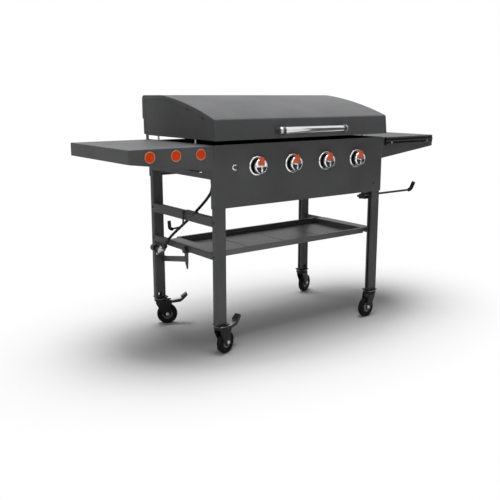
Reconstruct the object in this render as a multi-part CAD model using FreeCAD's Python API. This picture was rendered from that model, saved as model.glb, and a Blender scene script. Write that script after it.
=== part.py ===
"""Outdoor gas griddle station on four casters, with a hinged hood and two side shelves.

Millimetres, +Z up. +X is the user's right hand and the user stands at -Y.
The origin is on the floor, in the middle of the station's outline.
"""
import FreeCAD, Part
import math
import os

V = FreeCAD.Vector
X_AXIS = V(1, 0, 0)
Y_AXIS = V(0, 1, 0)
Z_AXIS = V(0, 0, 1)

# Sheet, frame and levels above the floor
sheet = 1.6
panel_width = 950.0
panel_top = 867.0
panel_bottom = 615.0
panel_flange = 24.0
frame_depth = 528.0
leg_width = 50.0
leg_depth = 26.0
leg_wall = 2.0
leg_corner = 4.0
leg_lip = 8.0
leg_inset = 5.0
leg_bottom = 133.0
leg_top_gap = 10.0
foot_wall = 3.0
wrench_window = 18.0

# Side rails and the lower tray
rail_width = 20.0
upper_rail_top = 580.0
upper_rail_height = 40.0
lower_rail_top = 432.0
lower_rail_height = 27.0
rail_wall = 1.6
rail_corner = 2.5
tray_front = 43.0
tray_rear = 401.0
tray_depth = 25.0
tray_gap = 7.0
tray_hose_notch = 22.0

# Burner box and cooking plate
box_height = 107.0
rear_panel_height = 138.0
box_wall_rise = 18.0
box_ledge = 24.0
plate_wall = 5.0
plate_rim_wall = 4.0
plate_drop = 29.0
plate_rim_height = 23.0
plate_front_rim_height = 17.0
plate_side_gap = 4.0
plate_front_gap = 5.0
plate_rear_gap = 3.0
drain_width = 60.0
drain_inset = 2.0
drain_height = 9.0

# Grease cup on its runners behind the rear panel
cup_width = 110.0
cup_reach = 52.0
cup_height = 60.0
cup_taper = 8.0
cup_wall = 1.2
cup_rim = 6.0
cup_drop = 18.0
runner_gap = 0.3

# Hood
hood_overhang = 5.0
hood_front = -21.0
hood_front_lean = 9.0
hood_rear_overhang = 35.0
hood_step = 9.0
hood_step_height = 71.0
hood_gap = 17.0
hood_front_height = 82.0
hood_rise = 92.0
hood_flat_length = 173.0
hood_crown = 12.45
hood_corner = 9.0
hood_rear_corner = 18.0
hood_rear_lip = 18.0
hood_rear_opening = 31.0
hood_hem = 12.0
hood_hem_gap = 28.0
hood_border = 18.0
hood_recess = 0.6
tab_slot_length = 24.0
tab_slot_height = 4.0
tab_slot_drop = 19.5
tab_slot_first_y = 73.0
tab_slot_pitch = 110.0
hinge_setback = 12.0
hinge_lift = 10.0
hinge_pin_radius = 4.0
hinge_lobe = 10.0
hinge_bracket_wall = 3.0
hinge_foot_width = 38.0
hinge_foot_drop = 48.0
pin_clearance = 0.05

# Hood handle
handle_radius = 14.0
handle_length = 366.0
handle_lift = 33.0
handle_y = -52.0
handle_end_chamfer = 4.0
handle_bracket_width = 11.0
handle_bracket_inset = 13.0
handle_arm_radius = 7.8
handle_base_radius = 17.0
handle_base_wall = 3.0
handle_collar_wall = 2.0

# Posts that the closed hood rests on
post_radius = 4.0
post_clearance = 0.3
post_front_y = 131.0
post_rear_y = 431.0

# Controls
knob_drop = 91.0
knob_first_inset = 212.0
knob_pitch = 189.0
knob_count = 4
bezel_radius = 41.0
bezel_wall = 5.0
bezel_dish_radius = 31.0
bezel_land = 7.0
knob_radius = 32.0
knob_depth = 24.0
knob_gap = 8.0
knob_grip_width = 11.0
knob_grip_height = 7.0
stem_radius = 4.0
stem_reach = 40.0
stem_travel = 3.0
stem_hole_clearance = 2.0
valve_front = 11.0
valve_y = 30.0
valve_reach = 10.0
riser_half = 5.0
orifice_radius = 4.0
seat_gap = 0.3
igniter_inset = 100.0
igniter_ring_radius = 11.0
igniter_button_radius = 6.5
igniter_button_reach = 14.0
igniter_travel = 6.0
igniter_body_radius = 9.0
igniter_body_length = 34.0

# Gas train
manifold_radius = 9.0
manifold_y = 68.0
manifold_drop = 20.0
manifold_overrun = 40.0
burner_radius = 16.0
burner_wall = 1.2
burner_drop = 33.0
burner_front = 88.0
burner_rear_gap = 58.0
burner_port_margin = 24.0
burner_port_height = 2.5
hose_radius = 6.0
hose_inset = 38.0
hose_top = 730.0
fitting_radius = 8.5
fitting_length = 34.0

# Side shelves
shelf_length = 364.0
shelf_setback = 5.0
shelf_drop = 2.0
shelf_outer_height = 53.0
shelf_inner_height = 97.0
shelf_corner = 2.2
shelf_edge_radius = 2.0
shelf_gap = 1.0
shelf_strip = 10.0
shelf_hem = 14.0
cap_radius = 23.5
cap_wall = 2.2
cap_neck_radius = 19.0
cap_drop = 30.0
cap_first_inset = 85.0
cap_pitch = 110.0
cap_count = 3

# Tool rail on the right shelf
tool_rail_length = 338.0
tool_rail_height = 38.0
tool_rail_wall = 14.0
tool_rail_end_gap = 14.0
tool_rail_groove = 9.0
tool_rail_groove_depth = 4.0
tool_rail_end_radius = 12.0
tool_rail_screw_inset = 40.0
screw_head_radius = 5.5
screw_head_height = 2.6
bolt_head_radius = 5.0
bolt_head_height = 3.2
panel_screw_inset = 49.0
panel_screw_rise = 39.0
rear_bolt_inset = 60.0
rear_bolt_pitch = 240.0
rear_bolt_rise = 30.0

# Tank bracket under the left lower rail
tank_bar_width = 25.0
tank_bar_wall = 4.0
tank_bar_y = 222.0
tank_bar_tip = 330.0
tank_strut_top = 386.0
tank_strut_bottom = 305.0
tank_strut_x = -433.0
clamp_knob_radius = 13.0
clamp_knob_length = 14.0
clamp_knob_z = 414.0
clamp_lobes = 6

# Hook on the left upper rail and bar on the right front leg
hook_radius = 4.0
hook_y = 238.0
hook_saddle_length = 80.0
hook_saddle_wall = 2.0
hook_saddle_drop = 12.0
hook_weld = 0.6
hook_low = 507.0
hook_reach = 66.0
hook_tip_height = 34.0
hook_bend = 12.0
bar_radius = 5.0
bar_drop = 18.0
clamp_gap = 4.0
bar_y = 18.0
bar_length = 240.0
bar_bend = 20.0
bar_tip_height = 34.0
clamp_inner_reach = 45.0
clamp_height = 30.0
clamp_wall = 2.0
clamp_clearance = 0.3
wing_span = 26.0
wing_wall = 5.0
wing_length = 14.0
tip_wall = 1.5
tip_clearance = 0.05

# Regulator at the hose's end
regulator_x = -497.0
regulator_y = 388.0
regulator_z = 386.0
regulator_radius = 27.0
regulator_dome_radius = 21.0
regulator_flange = 4.0
regulator_dome_height = 13.0
regulator_inlet_radius = 7.0
regulator_inlet_length = 62.0
nut_radius = 16.0
nut_length = 26.0
nut_ribs = 8
regulator_barb_length = 10.0
regulator_nose_length = 22.0

# Casters
wheel_radius = 47.5
wheel_width = 24.0
tyre_shoulder = 4.0
hub_radius = 34.0
hub_boss_radius = 9.0
hub_boss_width = 27.4
hub_web_width = 9.0
hub_rim_wall = 4.0
axle_radius = 4.0
caster_trail = 28.0
caster_plate_x = 70.0
caster_plate_y = 54.0
caster_plate_wall = 3.0
caster_plate_shift = 6.0
race_radius = 24.0
race_height = 6.0
race_gap = 0.4
kingpin_radius = 5.0
kingpin_head_radius = 8.5
kingpin_head_height = 4.0
fork_wall = 3.0
fork_inner_gap = 14.6
fork_crown_wall = 3.0
fork_crown_radius = 27.0
fork_foot_radius = 11.0
rivet_reach = 2.0
pedal_pin_radius = 2.5
pedal_pivot_t = 44.0
pedal_pivot_z = 103.0
pedal_reach = 118.0
pedal_tip_z = 128.0
pedal_wall = 3.0
pedal_boss_radius = 5.0
pedal_pad_width = 30.0
shoe_drop = 9.0
shoe_width = 5.0
swivel_angles = {"front_left": 19.0, "front_right": 188.0, "rear_left": -25.0, "rear_right": 20.0}

# Places worked out from the sizes above
half_width = panel_width / 2
knob_first_x = knob_first_inset - half_width
igniter_x = igniter_inset - half_width
cap_first_x = cap_first_inset - half_width - shelf_length
hose_x = hose_inset - half_width
plate_seat = panel_top - plate_drop
plate_top = plate_seat + plate_wall
plate_front = plate_front_gap
plate_rear = frame_depth - plate_rear_gap
plate_rim_top = plate_seat + plate_rim_height
plate_front_rim_top = plate_seat + plate_front_rim_height
leg_top = plate_seat - leg_top_gap
box_bottom = plate_seat - box_height
box_wall_top = plate_seat + box_wall_rise
rear_panel_bottom = plate_seat - rear_panel_height
cup_top = plate_seat - cup_drop
burner_z = plate_seat - burner_drop
burner_rear = frame_depth - burner_rear_gap
knob_z = panel_top - knob_drop
shelf_top = panel_top - shelf_drop
shelf_depth = frame_depth - shelf_setback
cap_z = shelf_top - cap_drop
bar_z = panel_bottom - bar_drop
hood_bottom = panel_top + hood_gap
hood_front_top = hood_bottom + hood_front_height
hood_top = hood_front_top + hood_rise
hood_step_z = hood_bottom + hood_step_height
hood_rear = frame_depth + hood_rear_overhang
hood_flat_start = hood_rear - hood_flat_length
hood_hem_end = frame_depth - hood_hem_gap
hood_rear_open = hood_bottom + hood_rear_opening
hinge_y = frame_depth + hinge_setback
hinge_z = hood_bottom + hinge_lift
handle_z = hood_bottom + handle_lift
handle_front = handle_y - handle_radius - handle_collar_wall
cup_rear = frame_depth + sheet + cup_reach
depth_middle = (handle_front + cup_rear) / 2
leg_outer = half_width - leg_inset
plate_half = leg_outer - plate_side_gap
leg_inner = leg_outer - leg_width
rear_leg_front = frame_depth - leg_depth
front_leg_front = sheet
front_leg_rear = front_leg_front + leg_depth
side_outer = leg_outer + sheet
manifold_z = knob_z - manifold_drop
knob_xs = [knob_first_x + knob_pitch * i for i in range(knob_count)]
leg_places = {
    "front_left": (-1, front_leg_front + leg_depth / 2),
    "front_right": (1, front_leg_front + leg_depth / 2),
    "rear_left": (-1, rear_leg_front + leg_depth / 2),
    "rear_right": (1, rear_leg_front + leg_depth / 2),
}


# Shared helpers
def box(x0, x1, y0, y1, z0, z1):
    """Block between two corners, given as pairs along X, Y and Z."""
    return Part.makeBox(x1 - x0, y1 - y0, z1 - z0, V(x0, y0, z0))


def rod(radius, start, end):
    """Round bar from one point to another."""
    path = end - start
    return Part.makeCylinder(radius, path.Length, start, path)


def fuse(shapes):
    """One solid from touching or overlapping shapes."""
    result = shapes[0].multiFuse(shapes[1:]) if len(shapes) > 1 else shapes[0]
    return result.removeSplitter()


def polygon(points):
    """Flat face inside a closed run of points."""
    return Part.Face(Part.makePolygon(points + [points[0]]))


def mirrored(shape):
    """The same shape on the other side of the station."""
    return shape.mirror(V(0, 0, 0), X_AXIS)


def lathe(outline, start, heading):
    """Turned piece: pairs of radius and distance along a heading that begins at a point."""
    section = polygon([V(radius, 0, along) for radius, along in outline])
    piece = section.revolve(V(0, 0, 0), Z_AXIS, 360)
    piece.Placement = FreeCAD.Placement(start, FreeCAD.Rotation(Z_AXIS, heading))
    return piece


def soft_rod(radius, start, end, chamfer):
    """Round bar with a chamfer round its far end."""
    length = (end - start).Length
    outline = [(0, 0), (radius, 0), (radius, length - chamfer), (radius - chamfer, length), (0, length)]
    return lathe(outline, start, (end - start).normalize())


def tapered_box(half, y0, y1, z0, z1, taper):
    """Block from -half to half along X whose four sides lean in towards its bottom."""
    high = [V(-half, y0, z1), V(half, y0, z1), V(half, y1, z1), V(-half, y1, z1)]
    low = [V(-half + taper, y0 + taper, z0), V(half - taper, y0 + taper, z0),
           V(half - taper, y1 - taper, z0), V(-half + taper, y1 - taper, z0)]
    sides = [polygon([low[i - 1], low[i], high[i], high[i - 1]]) for i in range(4)]
    return Part.makeSolid(Part.makeShell(sides + [polygon(low), polygon(high)]))


def round_edges(shape, radius, wanted):
    """Fillet the edges that the test picks."""
    edges = [edge for edge in shape.Edges if wanted(edge)]
    return shape.makeFillet(radius, edges) if edges else shape


def is_vertical(edge):
    """True for a straight edge along Z."""
    ends = [vertex.Point for vertex in edge.Vertexes]
    return len(ends) == 2 and abs(ends[0].x - ends[1].x) < 0.01 and abs(ends[0].y - ends[1].y) < 0.01


def bent_path(points, radius_of):
    """Wire through points, with a tangent arc at each inner point."""
    edges = []
    last = points[0]
    for i in range(1, len(points) - 1):
        before = (points[i - 1] - points[i]).normalize()
        after = (points[i + 1] - points[i]).normalize()
        half_turn = (math.pi - before.getAngle(after)) / 2
        radius = radius_of(i, half_turn)
        back = radius * math.tan(half_turn)
        start = points[i] + before * back
        end = points[i] + after * back
        bisector = (before + after).normalize()
        middle = points[i] + bisector * (radius / math.cos(half_turn) - radius)
        edges.append(Part.LineSegment(last, start).toShape())
        edges.append(Part.Arc(start, middle, end).toShape())
        last = end
    edges.append(Part.LineSegment(last, points[-1]).toShape())
    return Part.Wire(edges)


def pipe(path, radius):
    """Round bar along a wire."""
    first = path.Edges[0]
    start = first.valueAt(first.FirstParameter)
    heading = first.tangentAt(first.FirstParameter)
    ring = Part.Wire(Part.makeCircle(radius, start, heading))
    return path.makePipeShell([ring], True, True)


# Frame
def leg_section():
    """Lipped channel, open towards -X, with its web on X = 0 and its front face on Y = 0."""
    outer = box(-leg_width, 0, 0, leg_depth, leg_bottom, leg_top)
    outer = round_edges(outer, leg_corner, lambda e: is_vertical(e) and abs(e.Vertexes[0].X) < 0.01)
    inner = box(-leg_width + leg_wall, -leg_wall, leg_wall, leg_depth - leg_wall,
                leg_bottom + foot_wall, leg_top + 1)
    inner = round_edges(inner, leg_corner - leg_wall,
                        lambda e: is_vertical(e) and abs(e.Vertexes[0].X + leg_wall) < 0.01)
    mouth = box(-leg_width - 1, -leg_width + leg_wall + 1, leg_lip, leg_depth - leg_lip,
                leg_bottom + foot_wall, leg_top + 1)
    return outer.cut(inner).cut(mouth)


def leg(name):
    """Leg in its place, with the kingpin's hole in its foot and a window for the wrench behind."""
    side, centre_y = leg_places[name]
    shape = leg_section()
    shape.translate(V(leg_outer, centre_y - leg_depth / 2, 0))
    hole_x = leg_outer - leg_width / 2
    if name.startswith("rear"):
        window = box(hole_x - 6, hole_x + wrench_window - 6, centre_y - leg_depth, centre_y + leg_depth,
                     leg_bottom + foot_wall + 2, leg_bottom + foot_wall + 2 + wrench_window)
        shape = shape.cut(window)
    return mirrored(shape) if side < 0 else shape


def rail(top, height):
    """Square-cornered tube between a front and a rear leg, on the right."""
    outer = box(leg_outer - rail_width, leg_outer, front_leg_rear, rear_leg_front, top - height, top)
    corners = lambda e: len(e.Vertexes) == 2 and abs(e.Vertexes[0].Y - e.Vertexes[1].Y) > 100
    outer = round_edges(outer, rail_corner, corners)
    inner = box(leg_outer - rail_width + rail_wall, leg_outer - rail_wall, front_leg_rear - 1,
                rear_leg_front + 1, top - height + rail_wall, top - rail_wall)
    return outer.cut(inner)


def side_rails():
    """Lower tubes on both sides and an upper one on the left."""
    upper = rail(upper_rail_top, upper_rail_height)
    lower = rail(lower_rail_top, lower_rail_height)
    return Part.makeCompound([mirrored(upper), lower, mirrored(lower)])


def lower_tray():
    """Folded tray whose side lips lie on the lower rails."""
    half = leg_inner - tray_gap
    top = lower_rail_top + sheet
    outer = box(-half, half, tray_front, tray_rear, top - tray_depth, top)
    outer = round_edges(outer, shelf_corner, is_vertical)
    outer = round_edges(outer, shelf_corner,
                        lambda e: abs(e.BoundBox.ZMax - (top - tray_depth)) < 0.01)
    inner = box(-half + sheet, half - sheet, tray_front + sheet, tray_rear - sheet,
                top - tray_depth + sheet, top + 1)
    lip = box(half - sheet, leg_outer - rail_corner, tray_front + sheet, tray_rear - tray_hose_notch,
              top - sheet, top)
    hem_front = box(-half, half, tray_front, tray_front + hood_hem, top - sheet, top)
    hem_rear = box(-half, half, tray_rear - hood_hem, tray_rear, top - sheet, top)
    hem_front = round_edges(hem_front, shelf_corner,
                            lambda e: is_vertical(e) and abs(e.Vertexes[0].Y - tray_front) < 0.01)
    hem_rear = round_edges(hem_rear, shelf_corner,
                           lambda e: is_vertical(e) and abs(e.Vertexes[0].Y - tray_rear) < 0.01)
    ribs = []
    for i in (-1, 0, 1):
        ribs.append(box(i * half / 2 - 8, i * half / 2 + 8, tray_front + 40, tray_rear - 40,
                        top - tray_depth + sheet, top - tray_depth + sheet + 1.2))
    return fuse([outer.cut(inner), lip, mirrored(lip), hem_front, hem_rear] + ribs)


# Control panel, burner box and cooking plate
def control_panel():
    """Folded front panel with holes for the stems, the igniter and a hem at the bottom."""
    front = box(-half_width, half_width, 0, sheet, panel_bottom, panel_top)
    side = box(half_width - sheet, half_width, 0, panel_flange, panel_bottom, panel_top)
    top = box(-half_width, half_width, 0, plate_front_gap - 0.5, panel_top - sheet, panel_top)
    bottom = box(-leg_inner + 1, leg_inner - 1, 0, panel_flange - 8, panel_bottom, panel_bottom + sheet)
    panel = fuse([front, side, mirrored(side), top, bottom])
    panel = round_edges(panel, shelf_edge_radius - 0.6,
                        lambda e: is_vertical(e) and abs(abs(e.Vertexes[0].X) - half_width) < 0.01
                        and abs(e.Vertexes[0].Y) < 0.01)
    for x in knob_xs:
        panel = panel.cut(rod(stem_radius + stem_hole_clearance, V(x, -1, knob_z), V(x, sheet + 1, knob_z)))
    return panel.cut(rod(igniter_body_radius + 0.05, V(igniter_x, -1, knob_z), V(igniter_x, sheet + 1, knob_z)))


def box_side():
    """Right side of the burner box, with the inner ledge under the cooking plate."""
    wall = box(leg_outer, side_outer, front_leg_front, frame_depth, box_bottom, box_wall_top)
    ledge = box(leg_outer - box_ledge, leg_outer + sheet, front_leg_rear + 4, rear_leg_front - 4,
                plate_seat - sheet, plate_seat)
    side = fuse([wall, ledge])
    for y in (front_leg_rear + 110, rear_leg_front - 110):
        for row in range(3):
            side = side.cut(box(leg_outer - 1, side_outer + 1, y - 45, y + 45,
                                box_bottom + 22 + 16 * row, box_bottom + 28 + 16 * row))
    return side


def box_rear_panel():
    """Rear sheet of the burner box with the two runners that carry the grease cup."""
    wall = box(-side_outer, side_outer, frame_depth, frame_depth + sheet, rear_panel_bottom, box_wall_top)
    ledge = box(-leg_inner + 2, leg_inner - 2, frame_depth - 18, frame_depth, plate_seat - sheet, plate_seat)
    drain = box(-drain_width / 2, drain_width / 2, frame_depth - 20, frame_depth + sheet + 1,
                plate_top, plate_top + drain_height + 1)
    spout = box(-drain_width / 2 - sheet, drain_width / 2 + sheet, frame_depth, frame_depth + sheet + 22,
                plate_top - sheet, plate_top)
    parts = [wall.cut(drain), ledge, spout]
    inner = cup_width / 2 + cup_rim + runner_gap
    for side in (-1, 1):
        web = box(inner, inner + sheet, frame_depth + sheet, frame_depth + sheet + cup_reach - 6,
                  cup_top - cup_wall - runner_gap - sheet, cup_top + 8)
        foot = box(cup_width / 2 + runner_gap, inner + sheet, frame_depth + sheet,
                   frame_depth + sheet + cup_reach - 6, cup_top - cup_wall - runner_gap - sheet,
                   cup_top - cup_wall - runner_gap)
        runner = fuse([web, foot])
        parts.append(mirrored(runner) if side < 0 else runner)
    return fuse(parts)


def griddle_plate():
    """Thick flat cooking plate inside its rims."""
    inside = plate_half - plate_rim_wall
    return box(-inside, inside, plate_front + plate_rim_wall, plate_rear - plate_rim_wall, plate_seat, plate_top)


def plate_rims():
    """Bars welded round the plate, with a drain hole in the rear one."""
    inside = plate_half - plate_rim_wall
    side = box(inside, plate_half, plate_front, plate_rear, plate_seat, plate_rim_top)
    rear = box(-inside, inside, plate_rear - plate_rim_wall, plate_rear, plate_seat, plate_rim_top)
    front = box(-inside, inside, plate_front, plate_front + plate_rim_wall, plate_seat, plate_front_rim_top)
    reach = drain_width / 2 - drain_inset
    drain = box(-reach, reach, plate_rear - plate_rim_wall - 1, plate_rear + 1, plate_top, plate_top + drain_height)
    return Part.makeCompound([side, mirrored(side), rear.cut(drain), front])


def grease_cup():
    """Tapered open cup with a rim that slides on the runners."""
    y0 = frame_depth + sheet + runner_gap
    y1 = frame_depth + sheet + cup_reach

    half = cup_width / 2
    low = cup_top - cup_height
    outer = tapered_box(half, y0, y1, low, cup_top, cup_taper)
    inner = tapered_box(half - cup_wall, y0 + cup_wall, y1 - cup_wall, low + cup_wall, cup_top + 0.01, cup_taper)
    rim = box(-cup_width / 2 - cup_rim, cup_width / 2 + cup_rim, y0, y1, cup_top - cup_wall, cup_top)
    hole = box(-cup_width / 2 + cup_wall, cup_width / 2 - cup_wall, y0 + cup_wall, y1 - cup_wall,
               cup_top - cup_wall - 1, cup_top + 1)
    return fuse([outer.cut(inner), rim.cut(hole)])


# Hood
def hood_arc():
    """Arc of the hood's top in the plane X = 0, bulging over its chord by the crown."""
    rear = V(0, hood_flat_start, hood_top)
    front = V(0, hood_front + hood_front_lean, hood_front_top)
    up = (rear - front).cross(X_AXIS * -1).normalize()
    return Part.Arc(rear, (rear + front) * 0.5 + up * hood_crown, front)


def hood_arc_z(y):
    """Height of the hood's top arc at a depth."""
    circle = hood_arc().toShape().Curve
    return circle.Center.z + math.sqrt(circle.Radius ** 2 - (y - circle.Center.y) ** 2)


def hood_arc_slope(y):
    """Slope of the hood's top arc at a depth, in degrees."""
    circle = hood_arc().toShape().Curve
    return math.degrees(math.asin((circle.Center.y - y) / circle.Radius))


def hood_outline():
    """Closed side outline of the hood, as a wire in the plane X = 0."""
    def at(y, z):
        return V(0, y, z)
    front_top = at(hood_front + hood_front_lean, hood_front_top)
    front_bottom = at(hood_front, hood_bottom)
    edges = [
        hood_arc().toShape(),
        Part.LineSegment(front_top, front_bottom).toShape(),
        Part.LineSegment(front_bottom, at(hinge_y - 5, hood_bottom)).toShape(),
        Part.LineSegment(at(hinge_y - 5, hood_bottom), at(hood_rear - hood_step, hood_bottom + hood_rear_lip)).toShape(),
        Part.LineSegment(at(hood_rear - hood_step, hood_bottom + hood_rear_lip),
                         at(hood_rear - hood_step, hood_step_z)).toShape(),
        Part.LineSegment(at(hood_rear - hood_step, hood_step_z), at(hood_rear, hood_step_z)).toShape(),
        Part.LineSegment(at(hood_rear, hood_step_z), at(hood_rear, hood_top)).toShape(),
        Part.LineSegment(at(hood_rear, hood_top), at(hood_flat_start, hood_top)).toShape(),
    ]
    return Part.Wire(Part.sortEdges(edges)[0])


def hood_solid(wire, x0, x1):
    """Outline drawn out along X, with the long upper corners rounded."""
    face = Part.Face(wire)
    face.translate(V(x0, 0, 0))
    body = face.extrude(V(x1 - x0, 0, 0))
    return body


def across(edge):
    """True for a straight edge along X."""
    ends = [vertex.Point for vertex in edge.Vertexes]
    return len(ends) == 2 and abs(ends[0].y - ends[1].y) < 0.01 and abs(ends[0].z - ends[1].z) < 0.01


def near(edge, y, z):
    """True where an edge's middle lies near a place in the side view."""
    centre = edge.BoundBox.Center
    return abs(centre.y - y) < 4 and abs(centre.z - z) < 4


def hood_shell():
    """Folded hood: skin, side walls with a raised border, hems, slots and the hinge's ears."""
    outline = hood_outline()
    half = half_width + hood_overhang
    outer = hood_solid(outline, -half, half)
    outer = round_edges(outer, hood_corner,
                        lambda e: across(e) and near(e, hood_front + hood_front_lean, hood_front_top))
    outer = round_edges(outer, hood_rear_corner, lambda e: across(e) and near(e, hood_rear, hood_top))
    inner_wire = outline.makeOffset2D(-sheet)
    inner = hood_solid(inner_wire, -half + sheet, half - sheet)
    inner = round_edges(inner, hood_corner - sheet,
                        lambda e: across(e) and near(e, hood_front + hood_front_lean, hood_front_top))
    inner = round_edges(inner, hood_rear_corner - sheet,
                        lambda e: across(e) and near(e, hood_rear, hood_top))
    below = box(-half + sheet, half - sheet, hood_front + sheet, hood_rear,
                hood_bottom - 10, hood_bottom + sheet + 0.5)
    behind = box(-half + sheet, half - sheet, hinge_y - 20, hood_rear + 10, hood_bottom - 10, hood_rear_open)
    shell = outer.cut(inner).cut(below).cut(behind)
    hem_side = box(half - hood_hem, half, hood_front + sheet, hood_hem_end, hood_bottom, hood_bottom + sheet)
    hem_front = box(-half + sheet, half - sheet, hood_front, hood_front + hood_hem,
                    hood_bottom, hood_bottom + sheet)
    shell = fuse([shell, hem_side, mirrored(hem_side), hem_front])
    recess_wire = outline.makeOffset2D(-hood_border)
    recess = hood_solid(recess_wire, half - hood_recess, half + 1)
    shell = shell.cut(recess).cut(mirrored(recess))
    for y in (tab_slot_first_y, tab_slot_first_y + tab_slot_pitch):
        slot = box(-half - 1, -half + sheet + 1, -tab_slot_length / 2, tab_slot_length / 2,
                   -tab_slot_height / 2, tab_slot_height / 2)
        slot.rotate(V(0, 0, 0), X_AXIS, hood_arc_slope(y))
        slot.translate(V(0, y, hood_arc_z(y) - tab_slot_drop))
        shell = shell.cut(slot).cut(mirrored(slot))
    hole = rod(hinge_pin_radius + pin_clearance, V(-half - 1, hinge_y, hinge_z), V(half + 1, hinge_y, hinge_z))
    return shell.cut(hole)


def hood_face_y(z):
    """Depth of the hood's leaning front face at a height."""
    share = (z - hood_bottom) / (hood_front_top - hood_bottom)
    return hood_front + hood_front_lean * share


def handle_post_x():
    """Distance of a handle bracket from the middle."""
    return handle_length / 2 - handle_bracket_inset


def hood_hinge_brackets():
    """Two folded brackets on the rear panel, each with its hinge pin."""
    x1 = side_outer - 0.2
    x0 = x1 - hinge_bracket_wall
    back = frame_depth + sheet
    lobe = rod(hinge_lobe, V(x0, hinge_y, hinge_z), V(x1, hinge_y, hinge_z))
    foot_bottom = plate_seat - hinge_foot_drop
    arm = box(x0, x1, back, hinge_y + hinge_lobe, foot_bottom, hinge_z)
    foot = box(x1 - hinge_foot_width, x1, back, back + hinge_bracket_wall, foot_bottom, box_wall_top - 2)
    bracket = fuse([lobe, arm, foot])
    hole = rod(hinge_pin_radius, V(x0 - 1, hinge_y, hinge_z), V(x1 + 1, hinge_y, hinge_z))
    bracket = bracket.cut(hole)
    wall_out = half_width + hood_overhang
    pin = fuse([rod(hinge_pin_radius, V(x0 - 3, hinge_y, hinge_z), V(wall_out + seat_gap, hinge_y, hinge_z)),
                rod(hinge_pin_radius + 3, V(wall_out + seat_gap, hinge_y, hinge_z), V(wall_out + 3, hinge_y, hinge_z))])
    return Part.makeCompound([bracket, mirrored(bracket), pin, mirrored(pin)])


def hood_rest_posts():
    """Four posts on the shelves' raised inner strips that the closed hood rests on."""
    posts = []
    top = hood_bottom - post_clearance
    x = half_width + hood_overhang - sheet - post_radius
    for y in (post_front_y, post_rear_y):
        post = rod(post_radius, V(x, y, shelf_top + sheet), V(x, y, top))
        posts += [post, mirrored(post)]
    return Part.makeCompound(posts)


def hood_handle_bar():
    """Round grip between the two brackets, with softened ends."""
    soft = handle_end_chamfer
    outline = [(0, 0), (handle_radius - soft, 0), (handle_radius, soft), (handle_radius, handle_length - soft),
               (handle_radius - soft, handle_length), (0, handle_length)]
    return lathe(outline, V(-handle_length / 2, handle_y, handle_z), X_AXIS)


def hood_handle_brackets():
    """Two brackets, each a round base on the hood and an arm with a collar round the bar."""
    shapes = []
    for side in (-1, 1):
        x = side * handle_post_x()
        face = hood_face_y(handle_z)
        lean = V(0, -(hood_front_top - hood_bottom), hood_front_lean).normalize()
        base_point = V(x, face, handle_z)
        base = rod(handle_base_radius, base_point, base_point + lean * handle_base_wall)
        arm = rod(handle_arm_radius, base_point + lean * (handle_base_wall - 0.6), V(x, handle_y, handle_z))
        collar = rod(handle_radius + handle_collar_wall, V(x - handle_bracket_width / 2, handle_y, handle_z),
                     V(x + handle_bracket_width / 2, handle_y, handle_z))
        bore = rod(handle_radius, V(x - handle_length, handle_y, handle_z),
                   V(x + handle_length, handle_y, handle_z))
        shapes.append(fuse([base, arm, collar]).cut(bore))
    return Part.makeCompound(shapes)


# Controls and gas train
def control_bezels():
    """Four sloping rings round the knobs and the housing with its ring round the igniter."""
    front = V(0, -1, 0)
    rim = [(bezel_dish_radius, 0), (bezel_radius, 0), (bezel_radius - 1.5, bezel_wall),
           (bezel_radius - bezel_land, bezel_wall)]
    shapes = [lathe(rim, V(x, 0, knob_z), front) for x in knob_xs]
    hole = igniter_button_radius + 0.3
    housing = [(hole, -igniter_body_length), (igniter_body_radius, -igniter_body_length),
               (igniter_body_radius, 0), (igniter_ring_radius, 0), (igniter_ring_radius - 2, 4), (hole, 4)]
    shapes.append(lathe(housing, V(igniter_x, 0, knob_z), front))
    return Part.makeCompound(shapes)


def igniter_button():
    """Push button with a domed tip that slides in its ring."""
    back = V(igniter_x, igniter_body_length - igniter_travel - 0.5, knob_z)
    return soft_rod(igniter_button_radius, back, V(igniter_x, -igniter_button_reach, knob_z),
                    igniter_button_radius * 0.5)


def valve_stem(x):
    """Round stem that the knob turns on, pushed in against the valve's spring."""
    back = valve_y - stem_travel - 1
    return rod(stem_radius, V(x, -stem_reach + 8, knob_z), V(x, back, knob_z))


def knob(x):
    """Turning knob: turned body with a raised rim and a grip bar across its face."""
    outline = [(0, 0), (knob_radius, 0), (knob_radius - 1.5, knob_depth), (knob_radius - 6, knob_depth),
               (knob_radius - 7, knob_depth - 3), (0, knob_depth - 3)]
    body = lathe(outline, V(0, -knob_gap, 0), V(0, -1, 0))
    face = -knob_gap - knob_depth + 3
    grip = box(-knob_grip_width / 2, knob_grip_width / 2, face - knob_grip_height, face + 1,
               -knob_radius + 8, knob_radius - 8)
    bore = rod(stem_radius + pin_clearance, V(0, 0, 0), V(0, -stem_reach + 8 - 0.3, 0))
    body = fuse([body, grip]).cut(bore)
    body.translate(V(x, 0, knob_z))
    return body


def gas_valves():
    """Four square valve bodies over the manifold, bored for their stems, with risers to the burners."""
    shapes = []
    half = manifold_drop - manifold_radius - seat_gap
    for x in knob_xs:
        body = box(x - half, x + half, valve_front, manifold_y + valve_reach, knob_z - half, knob_z + half)
        riser = box(x - riser_half, x + riser_half, manifold_y - riser_half, manifold_y + riser_half,
                    knob_z, burner_z + riser_half)
        orifice = rod(orifice_radius, V(x, manifold_y, burner_z), V(x, burner_front + 2, burner_z))
        bore = rod(stem_radius + pin_clearance, V(x, valve_front - 1, knob_z), V(x, valve_y + 1, knob_z))
        shapes.append(fuse([body, riser, orifice]).cut(bore))
    return Part.makeCompound(shapes)


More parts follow.
